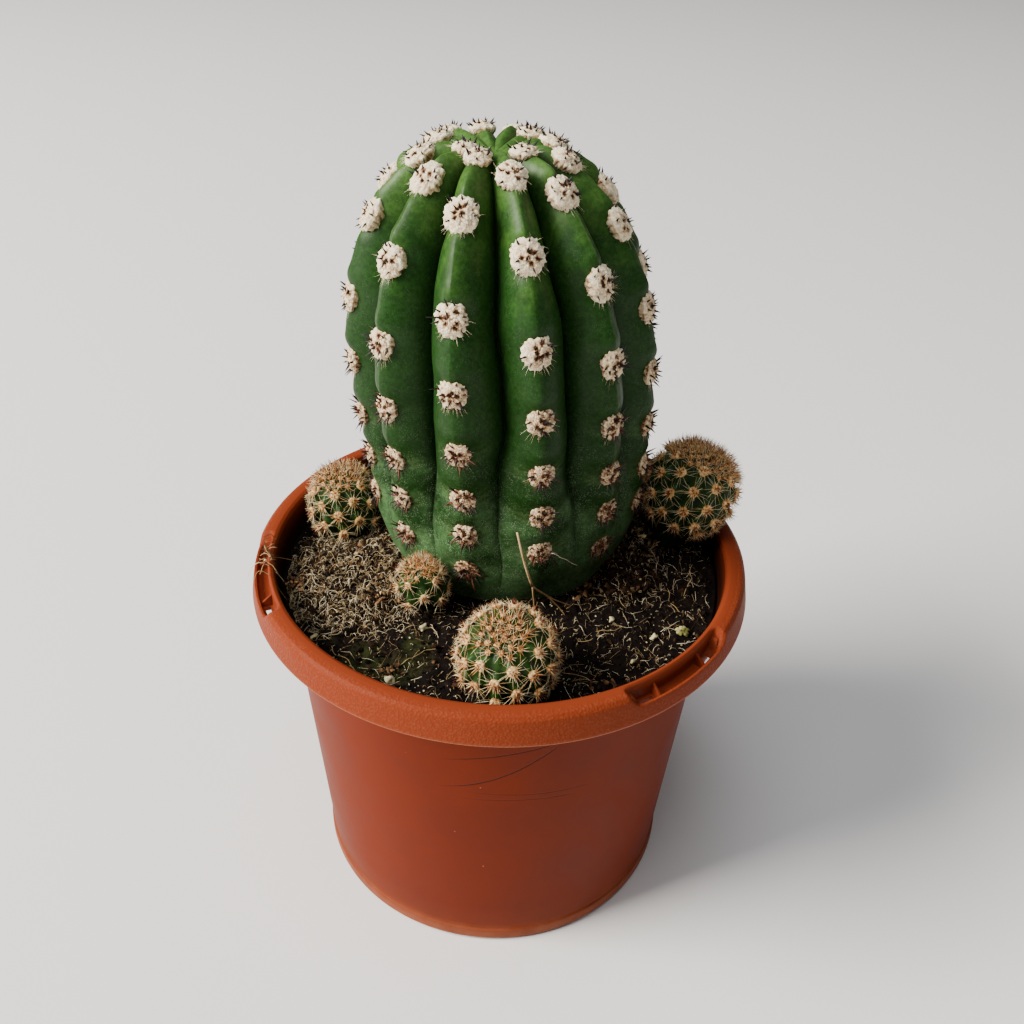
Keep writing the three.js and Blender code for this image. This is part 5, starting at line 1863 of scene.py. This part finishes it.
    def build_seedling(self) -> None:
        """Make the seedling: a rosette of small cupped leaves round a knob."""
        x, y = self.seedling_spot
        base = self.soil.height(np.array([x]), np.array([y]))[0]
        count = self.leaves
        angle = np.arange(count) * GOLDEN_TURN
        reach = 0.3 + 1.6 * np.sqrt(np.arange(count) / count)
        out = unit(np.stack([0.5 * np.cos(angle), 0.5 * np.sin(angle), np.ones(count)], -1))
        east = unit(np.cross(out, np.array([0.0, 0.0, 1.0])) + 1e-6)
        frames = np.stack([east, np.cross(out, east), out], axis=1)
        centres = np.stack([x + reach * np.cos(angle), y + reach * np.sin(angle),
                            base + 1.9 - 0.35 * reach], -1)
        radii = np.tile([[0.55, 0.75, 0.36]], (count, 1))
        points, faces = lumps(centres, frames, radii, 0.35, 3, 131)
        tone = each_point(0.5 + 0.5 * np.sin(np.arange(count) * 2.3), points)
        piece = make_piece("seedling_rosette", points, faces, {"tone": tone})
        finish_piece(piece, self.looks.sprout, ["seedling"])


# ---- pot


@dataclass
class NurseryPot:
    """The moulded pot: a lathe form whose rim band opens into three hanger lugs."""

    looks: Finishes
    regular: tuple[tuple[float, float], ...] = (
        (0, 0), (56.6, 0), (58, 1.4), (58, 5), (57.4, 5.6), (64.2, 98), (69.2, 103), (69.8, 113.9),
        (72.1, 113.7), (73.4, 107), (75, 107), (73.9, 113.4), (73.6, 114.6), (72.6, 115.6), (71.7, 115.85),
        (70.8, 115.95), (70.0, 116), (69.2, 116), (68.2, 115.5), (67.8, 114.2), (66.5, 104.4), (62.4, 97.6),
        (55.8, 4.4), (53.8, 2.4), (0, 2.4),
    )
    ledge: tuple[tuple[int, float, float], ...] = (
        (11, 74.3, 111.0), (12, 74.0, 112.0), (13, 73.3, 112.4), (14, 72.0, 112.2), (15, 70.1, 112.2),
        (16, 69.8, 115.4),
    )
    pocket: tuple[tuple[int, float, float], ...] = (
        (7, 69.8, 108.5), (8, 73.3, 108.5), (13, 73.2, 111.9), (14, 72.9, 109.8), (15, 69.8, 109.8),
    )
    lug_angles: tuple[float, ...] = (-46.0, 74.0, 194.0)
    lug_half: float = 15.0
    pocket_half: float = 13.6
    web_deg: float = 7.2
    slot_deg: float = 9.8
    slot_half: float = 1.8
    floor_top: float = 109.8
    fin_top: float = 114.0
    fin_low: float = 110.6
    fin_walls: tuple[float, float] = (69.2, 73.4)
    band_foot: float = 107.0
    blend_deg: float = 2.8
    drain_ring: float = 38.0
    drain_radius: float = 4.5
    drain_half_deg: float = 9.05
    wall_run: int = 4
    inner_run: int = 19
    per_run: int = 8

    def spread(self, knots: Array) -> Array:
        """Sample each run of the profile, with points close to its corners, then soften them.

        The floor's two runs have points inside and outside the drain holes' ring.

        Args:
            knots: The profile's corners, as radius and height.

        Returns:
            The sampled profile.
        """
        middles = {0: (0.265, 0.53, 0.835), len(knots) - 2: (0.12, 0.44, 0.72)}
        rows = []
        for run, (start, end) in enumerate(zip(knots[:-1], knots[1:])):
            length = max(float(np.hypot(*(end - start))), 1e-6)
            near = min(0.35, length / 7.0) / length
            middle = middles.get(run, (0.35, 0.5, 0.65))
            shares = np.array([0.0, near, 2.2 * near, *middle, 1 - 2.2 * near, 1 - near])
            rows.append(start + (end - start) * shares[:, None])
        profile = np.vstack([*rows, knots[-1:]])
        for _ in range(2):
            profile[1:-1] = (profile[:-2] + 2.0 * profile[1:-1] + profile[2:]) / 4.0
        return profile

    def variants(self) -> tuple[Array, Array, Array]:
        """The profile away from a lug, on a lug's ledge and in its pocket.

        Returns:
            The three sampled profiles.
        """
        regular = np.array(self.regular, float)
        ledge = regular.copy()
        for index, radius, height in self.ledge:
            ledge[index] = radius, height
        pocket = ledge.copy()
        for index, radius, height in self.pocket:
            pocket[index] = radius, height
        return self.spread(regular), self.spread(ledge), self.spread(pocket)

    def columns(self) -> Array:
        """Angles of the columns in degrees, closer where a lug begins, ends or has a slot.

        Returns:
            The angles, rising from 0.
        """
        angles = [np.arange(0.0, 360.0, 1.0)]
        for lug in self.lug_angles:
            for edge in (-self.lug_half, -self.pocket_half, self.pocket_half, self.lug_half):
                angles.append(lug + edge + np.arange(-1.4, 1.41, 0.2))
            for side in (-1, 1):
                angles.append(lug + side * self.slot_deg + np.array([-self.slot_half, self.slot_half]))
        return np.unique(np.round(np.concatenate(angles) % 360.0, 2))

    def lug_distance(self, angle: Array) -> Array:
        """Angle to the middle of the nearest lug, with its sign."""
        gaps = (angle[:, None] - np.array(self.lug_angles) + 180.0) % 360.0 - 180.0
        return gaps[np.arange(len(angle)), np.abs(gaps).argmin(1)]

    def build(self) -> None:
        """Make the pot: the profile is carried round the axis and blends to its lug forms."""
        angle = self.columns()
        gap = self.lug_distance(angle)
        on_ledge = smooth((self.lug_half + 1.0 - np.abs(gap)) / self.blend_deg)
        in_pocket = smooth((self.pocket_half + 0.5 - np.abs(gap)) / self.blend_deg)
        regular, ledge, pocket = self.variants()
        profile = regular[:, None] + (ledge - regular)[:, None] * on_ledge[None, :, None]
        profile += (pocket - ledge)[:, None] * in_pocket[None, :, None]
        turn = np.radians(angle)
        body = np.stack([profile[1:-1, :, 0] * np.cos(turn), profile[1:-1, :, 0] * np.sin(turn),
                         profile[1:-1, :, 1]], -1)
        points, faces = capped_grid(body, np.zeros(3), np.array([0.0, 0.0, self.regular[-1][1]]))
        quads = faces[0]
        rows, count = body.shape[:2]
        walls = []
        floor = self.floor_rows()
        for lug in self.lug_angles:
            for side in (-1, 1):
                low = (lug + side * self.slot_deg - self.slot_half) % 360.0
                first = int(np.abs(angle - round(low, 2)).argmin())
                last = int(np.abs(angle - round((low + 2 * self.slot_half) % 360.0, 2)).argmin())
                quads, wall = self.cut_slot(quads, count, first, last, floor)
                walls.append(wall)
        points, quads, rings = self.drain(points, quads, angle)
        faces[0] = np.vstack([quads, *walls, rings])
        reach, level = np.hypot(points[:, 0], points[:, 1]), points[:, 2]
        run = np.zeros(len(points), int)
        run[:rows * count] = np.repeat((np.arange(rows) + 1) // self.per_run, count)
        inner = (run >= self.inner_run) * (run < len(self.regular) - 2)
        masks = {
            "grain": smooth((level - 105.5) / 1.0) * smooth((reach - 70.4) / 1.2) * (run < self.inner_run),
            # band: painted light, paler where the rim band catches more light, less on the inner side
            "band": smooth((level - 98.0) / 8.0) * (1.0 - 0.35 * inner),
            # Inside the rim: darker from peat stain and painted shade, less towards the lip.
            "stain_and_shade": inner * (0.95 - 0.5 * smooth((level - 109.0) / 6.0)),
            "dust": 0.5 * (1.0 - smooth((level - 1.0) / 9.0)) * (run < 6),
            "seam": np.exp(-(((level - self.band_foot) / 0.3) ** 2)) * (reach > 74.2),
            "front": (run == self.wall_run) * (points[:, 1] < 0.0) * 1.0,
        }
        piece = make_piece("pot_moulding", points, faces, masks)
        self.close_up(piece)
        finish_piece(piece, self.looks.plastic, ["pot"])
        self.build_webs()

    def drain(self, points: Array, quads: Array, angle: Array) -> tuple[Array, Array, Array]:
        """Open the drain holes in the floor, each with a round wall.

        The block of quads round a hole becomes a ring that joins the block's edge to a circle: each
        point of the edge goes to the circle's point at the same turn about the hole's middle.

        Args:
            points: The pot's points.
            quads: The grid's quads.
            angle: Angles of the grid's columns, in degrees.

        Returns:
            The points with the circles added, the quads that stay, and the rings and walls.
        """
        count, last = len(angle), 8 * (len(self.regular) - 2) + 3
        added, rings, first = [points], [], len(points)
        for hole in np.arange(0.0, 360.0, 60.0):
            gap = (angle - hole + 180.0) % 360.0 - 180.0
            columns = np.flatnonzero(np.abs(gap) <= self.drain_half_deg)
            columns = columns[np.argsort(gap[columns])]
            middle = self.drain_ring * np.array([math.cos(math.radians(hole)), math.sin(math.radians(hole))])
            circles = []
            for inner, outer in ((3, 4), (last, last - 1)):
                edge = np.concatenate([inner * count + columns, outer * count + columns[::-1]])
                if not circles:
                    turn = np.arctan2(points[edge, 1] - middle[1], points[edge, 0] - middle[0])
                circle = first + np.arange(len(edge))
                first += len(edge)
                added.append(np.stack([middle[0] + self.drain_radius * np.cos(turn),
                                       middle[1] + self.drain_radius * np.sin(turn), points[edge, 2]], -1))
                rings.append(np.stack([edge, np.roll(edge, -1), np.roll(circle, -1), circle], -1))
                row, column = quads[:, 0] // count, quads[:, 0] % count
                quads = quads[~((row == min(inner, outer)) & np.isin(column, columns[:-1]))]
                circles.append(circle)
            near, far = circles
            rings.append(np.stack([near, np.roll(near, -1), np.roll(far, -1), far], -1))
        return np.vstack(added), quads, np.vstack(rings)

    def floor_rows(self) -> tuple[int, int, int, int]:
        """Rows of the body that bound the slots: two on the floor's top and two under it."""
        under, top = 7 * self.per_run - 1, 14 * self.per_run - 1
        return top + 2, top + 6, under + 2, under + 6

    def cut_slot(
        self, quads: Array, count: int, first: int, last: int, floor: tuple[int, int, int, int]
    ) -> tuple[Array, Array]:
        """Leave out a slot's quads above and below, and give it side walls.

        Args:
            quads: The grid's quads.
            count: Columns of the grid.
            first: Column where the slot begins.
            last: Column where it ends.
            floor: Rows that bound it above and below.

        Returns:
            The quads that stay, and the walls.
        """
        top_a, top_b, under_a, under_b = floor
        span = (last - first) % count
        columns = (first + np.arange(span)) % count
        row, column = quads[:, 0] // count, quads[:, 0] % count
        inside = np.isin(column, columns)
        inside &= ((row >= top_a) & (row < top_b)) | ((row >= under_a) & (row < under_b))
        after = (columns + 1) % count
        outer = np.stack([top_a * count + columns, top_a * count + after,
                          under_b * count + after, under_b * count + columns], -1)
        inner = np.stack([under_a * count + columns, under_a * count + after,
                          top_b * count + after, top_b * count + columns], -1)
        steps = np.arange(top_b - top_a)
        ends = []
        for column_index in (first, last % count):
            upper, lower = (top_a + steps) * count + column_index, (under_b - steps) * count + column_index
            ends.append(np.stack([upper, upper + count, lower - count, lower], -1))
        return quads[~inside], np.vstack([outer, inner, *ends])

    @staticmethod
    def close_up(piece: bpy.types.Object) -> None:
        """Turn every face outward and mark the hard corners.

        Args:
            piece: The piece.
        """
        shell = bmesh.new()
        shell.from_mesh(piece.data)
        bmesh.ops.recalc_face_normals(shell, faces=shell.faces)
        shell.to_mesh(piece.data)
        shell.free()
        piece.data.set_sharp_from_angle(angle=math.radians(50.0))

    def build_webs(self) -> None:
        """Make the thin fins that stand in each lug, tall at the wall and low at the skirt."""
        foot = self.floor_top - 0.5
        tall, low = self.fin_top - foot, self.fin_low - foot
        near, far = self.fin_walls
        corners = np.array([[-0.5, near, 0.0], [0.5, near, 0.0], [0.5, far, 0.0], [-0.5, far, 0.0],
                            [-0.2, near, tall], [0.2, near, tall], [0.35, far, low], [-0.35, far, low]])
        sides = np.array([[0, 3, 2, 1], [4, 5, 6, 7], [0, 1, 5, 4], [1, 2, 6, 5], [2, 3, 7, 6], [3, 0, 4, 7]])
        parts = []
        for lug, side in itertools.product(self.lug_angles, (-1, 1)):
            turn = math.radians(lug + side * self.web_deg)
            along = np.array([math.cos(turn), math.sin(turn), 0.0])
            across = np.array([-along[1], along[0], 0.0])
            points = corners[:, 1:2] * along + 1.3 * corners[:, :1] * across
            points[:, 2] = foot + corners[:, 2]
            parts.append((points, [sides]))
        points, faces = joined(parts)
        none = np.zeros(len(points))
        masks = {key: none for key in ("grain", "stain_and_shade", "dust", "seam", "front")}
        # The fins take the band's paler colour, painted light.
        piece = make_piece("pot_fins", points, faces, {**masks, "band": none + 1.0}, False)
        self.close_up(piece)
        bevel = piece.modifiers.new("soft_edges", "BEVEL")
        bevel.width, bevel.segments = 0.18 * MM, 2
        finish_piece(piece, self.looks.plastic)


# ---- stage


@dataclass
class Studio:
    """A pale floor, soft lights and the camera."""

    lamps: tuple[tuple[Any, ...], ...] = (
        ("window", (-2.42, -0.64, 1.92), 1.5, 260.0, "#fff9f0"),
        ("skylight", (-0.3, -0.5, 2.8), 1.5, 30.0, "#f8faff"),
    )
    aim: tuple[float, float, float] = (0.0, 0.0, 0.13)
    paper: str = "#eeedeb"
    sky: str = "#f3f4f6"
    sky_strength: float = 0.19
    eye: tuple[float, float, float] = (2.9107, -262.1438, 308.3502)
    right: tuple[float, float, float] = (0.99933094, 0.02076549, 0.03010749)
    up: tuple[float, float, float] = (-0.03657412, 0.56738458, 0.82264031)
    ahead: tuple[float, float, float] = (0.0, 0.82319107, -0.56776444)
    lens_mm: float = 37.51
    film_mm: float = 36.0
    floor_mm: float = 8000.0

    def build_camera(self) -> None:
        """Set the camera where the photograph was taken from."""
        data = bpy.data.cameras.new("camera")
        data.lens, data.sensor_width = self.lens_mm, self.film_mm
        data.clip_start, data.clip_end = 0.01, 50.0
        camera = bpy.data.objects.new("camera", data)
        axes = np.column_stack([self.right, self.up, -np.array(self.ahead), np.array(self.eye) * MM])
        camera.matrix_world = Matrix([*axes.tolist(), [0.0, 0.0, 0.0, 1.0]])
        bpy.context.scene.collection.objects.link(camera)
        bpy.context.scene.camera = camera

    def build_light(self, name: str, place: Sequence[float], size: float, power: float, tint: str) -> None:
        """Hang one square soft light that faces the plant.

        Args:
            name: The light's name.
            place: Its middle, in metres.
            size: Its edge, in metres.
            power: Its power in watts.
            tint: Its colour.
        """
        data = bpy.data.lights.new(name, "AREA")
        data.shape, data.size, data.energy = "SQUARE", size, power
        data.color = linear(tint)[:3]
        light = bpy.data.objects.new(name, data)
        aim = unit(np.array(self.aim) - np.array(place))
        side = unit(np.cross(aim, np.array([0.0, 0.0, 1.0])))
        axes = np.column_stack([side, np.cross(side, aim), -aim, np.array(place)])
        light.matrix_world = Matrix([*axes.tolist(), [0.0, 0.0, 0.0, 1.0]])
        bpy.context.scene.collection.objects.link(light)

    def build(self) -> None:
        """Lay the floor, hang the lights and set the camera."""
        edge = self.floor_mm / 2.0
        corners = np.array([[-edge, -edge, 0.0], [edge, -edge, 0.0], [edge, edge, 0.0], [-edge, edge, 0.0]])
        floor = make_piece("floor", corners, [np.array([[0, 1, 2, 3]])])
        material, tree, shader = blank_material("matte_paper_floor")
        feed(tree, shader, {"Base Color": linear(self.paper), "Roughness": 0.9})
        floor.data.materials.append(material)
        world = bpy.data.worlds.new("soft_sky")
        world.use_nodes = True
        feed(world.node_tree, world.node_tree.nodes["Background"],
             {"Color": linear(self.sky), "Strength": self.sky_strength})
        bpy.context.scene.world = world
        for lamp in self.lamps:
            self.build_light(*lamp)
        self.build_camera()


def main() -> None:
    """Build the whole plant, piece by piece."""
    logging.basicConfig(level=logging.INFO, format="%(message)s")
    Studio().build()
    looks = Finishes(
        # The groove colours are painted shade and the line colours painted highlight.
        stem_skin=WaxySkin("waxy_epidermis", young="#406326", mature="#183a0d", old="#17330f",
                           foot="#42633a", groove="#0a1c07", line="#6a8752").make(),
        offset_skin=WaxySkin("young_epidermis", young="#2c5214", mature="#183a0b", old="#102809",
                             foot="#102809", groove="#061305", line="#3d601d").make(),
        wool=Fibrous("felted_wool", ("#fff2d2", "#e0c49c", "#7d5537", "#1e0e08"), roughness=0.95,
                     grain_mm=0.42, drift=0.16, bump_mm=0.34, sheen=0.15).make(),
        down=Fibrous("downy_felt", ("#f4d59e", "#dcab70", "#96602f", "#351a0e"), roughness=0.95,
                     grain_mm=0.4, drift=0.14, bump_mm=0.2, sheen=0.15).make(),
        dark=Fibrous("horny_spine", ("#080403", "#1a0c08", "#52200f", "#84502f"), roughness=0.45,
                     grain_mm=1.2, drift=0.08, bump_mm=0.05, gloss=0.4).make(),
        pale=Fibrous("straw_needle", ("#f6e8bc", "#dca45c", "#8e4217", "#3a1206"), roughness=0.5,
                     grain_mm=1.5, drift=0.06, bump_mm=0.03, gloss=0.3).make(),
        fibre=Fibrous("dry_fibre", ("#0f0906", "#4c3822", "#b89a69", "#fff1cd"), roughness=0.9,
                      grain_mm=2.0, drift=0.12, bump_mm=0.1).make(),
        husk=Fibrous("peat_husk", ("#060302", "#1b100a", "#432b1b", "#856444"), roughness=0.92,
                     grain_mm=1.5, drift=0.2, bump_mm=0.3).make(),
        wood=Fibrous("dry_wood", ("#7c5a38", "#b08c60", "#d8bd90"), roughness=0.75, grain_mm=1.6,
                     drift=0.3, bump_mm=0.1).make(),
        grain=Fibrous("perlite", ("#7d7350", "#bdb386", "#e6e0c4"), roughness=0.85, grain_mm=0.8,
                      drift=0.2, bump_mm=0.15).make(),
        sprout=Fibrous("sprout_leaf", ("#494a22", "#7c7a40", "#b5ad78"), roughness=0.6, grain_mm=1.2,
                       drift=0.2, bump_mm=0.1).make(),
        plastic=MouldedPlastic().make(),
        peat=MoistPeat().make(),
    )
    NurseryPot(looks).build()
    soil = SoilBed(looks)
    soil.build()
    soil.build_crumbs()
    soil.build_specks()
    stem = MainStem(looks)
    stem.build_skin()
    stem.build_wool()
    stem.build_spines()
    stem.build_hairs()
    for offset in (
        Offset(looks, soil, "offset_front", foot=(4.2, -46.4, 104.7), lean=(-0.1, -0.36), radius=12.0,
               length=23.6, ribs=14, seed=3, crown=7.2),
        # The right offset's apex needles are lighter as a painted highlight, where light catches their tips.
        Offset(looks, soil, "offset_right", foot=(53.4, 11.0, 119.0), lean=(0.42, 0.3), radius=12.6,
               length=24.6, ribs=14, seed=5, crown=12.5, apex_needle_tone=0.6),
        Offset(looks, soil, "offset_left", foot=(-47.8, 17.0, 105.0), lean=(-0.2, 0.06), radius=9.6,
               length=23.0, ribs=12, seed=7, crown=8.5),
        Offset(looks, soil, "offset_small", foot=(-21.5, -20.6, 109.0), lean=(-0.1, -0.1), radius=6.0,
               length=14.0, ribs=9, seed=11, crown=5.0, apex_needle_tone=0.62),
    ):
        offset.build_skin()
        offset.build_wool()
        offset.build_needles()
    for mat in (
        Mat(looks, soil, "litter_left", x=-44.0, y=-10.0, radius_x=20.0, radius_y=19.0, rise=2.8,
            strands=4300, flakes=220, crumbs=620, slot=Slot.FIBRE, seed=21),
        Mat(looks, soil, "litter_rear", x=-38.0, y=26.0, radius_x=10.0, radius_y=17.0, rise=9.0,
            strands=1350, flakes=90, crumbs=240, slot=Slot.FIBRE, seed=23),
        Mat(looks, soil, "litter_right", x=37.0, y=0.0, radius_x=12.0, radius_y=14.0, rise=6.5,
            strands=700, flakes=160, crumbs=620, slot=Slot.HUSK, seed=25),
    ):
        mat.build()
    trimmings = Trimmings(looks, soil)
    trimmings.build_twig()
    trimmings.build_rootlets()
    trimmings.build_grains()
    trimmings.build_threads()
    trimmings.build_strands()
    trimmings.build_lug_tangle()
    trimmings.build_husks()
    trimmings.build_seedling()


if __name__ == "__main__":
    main()
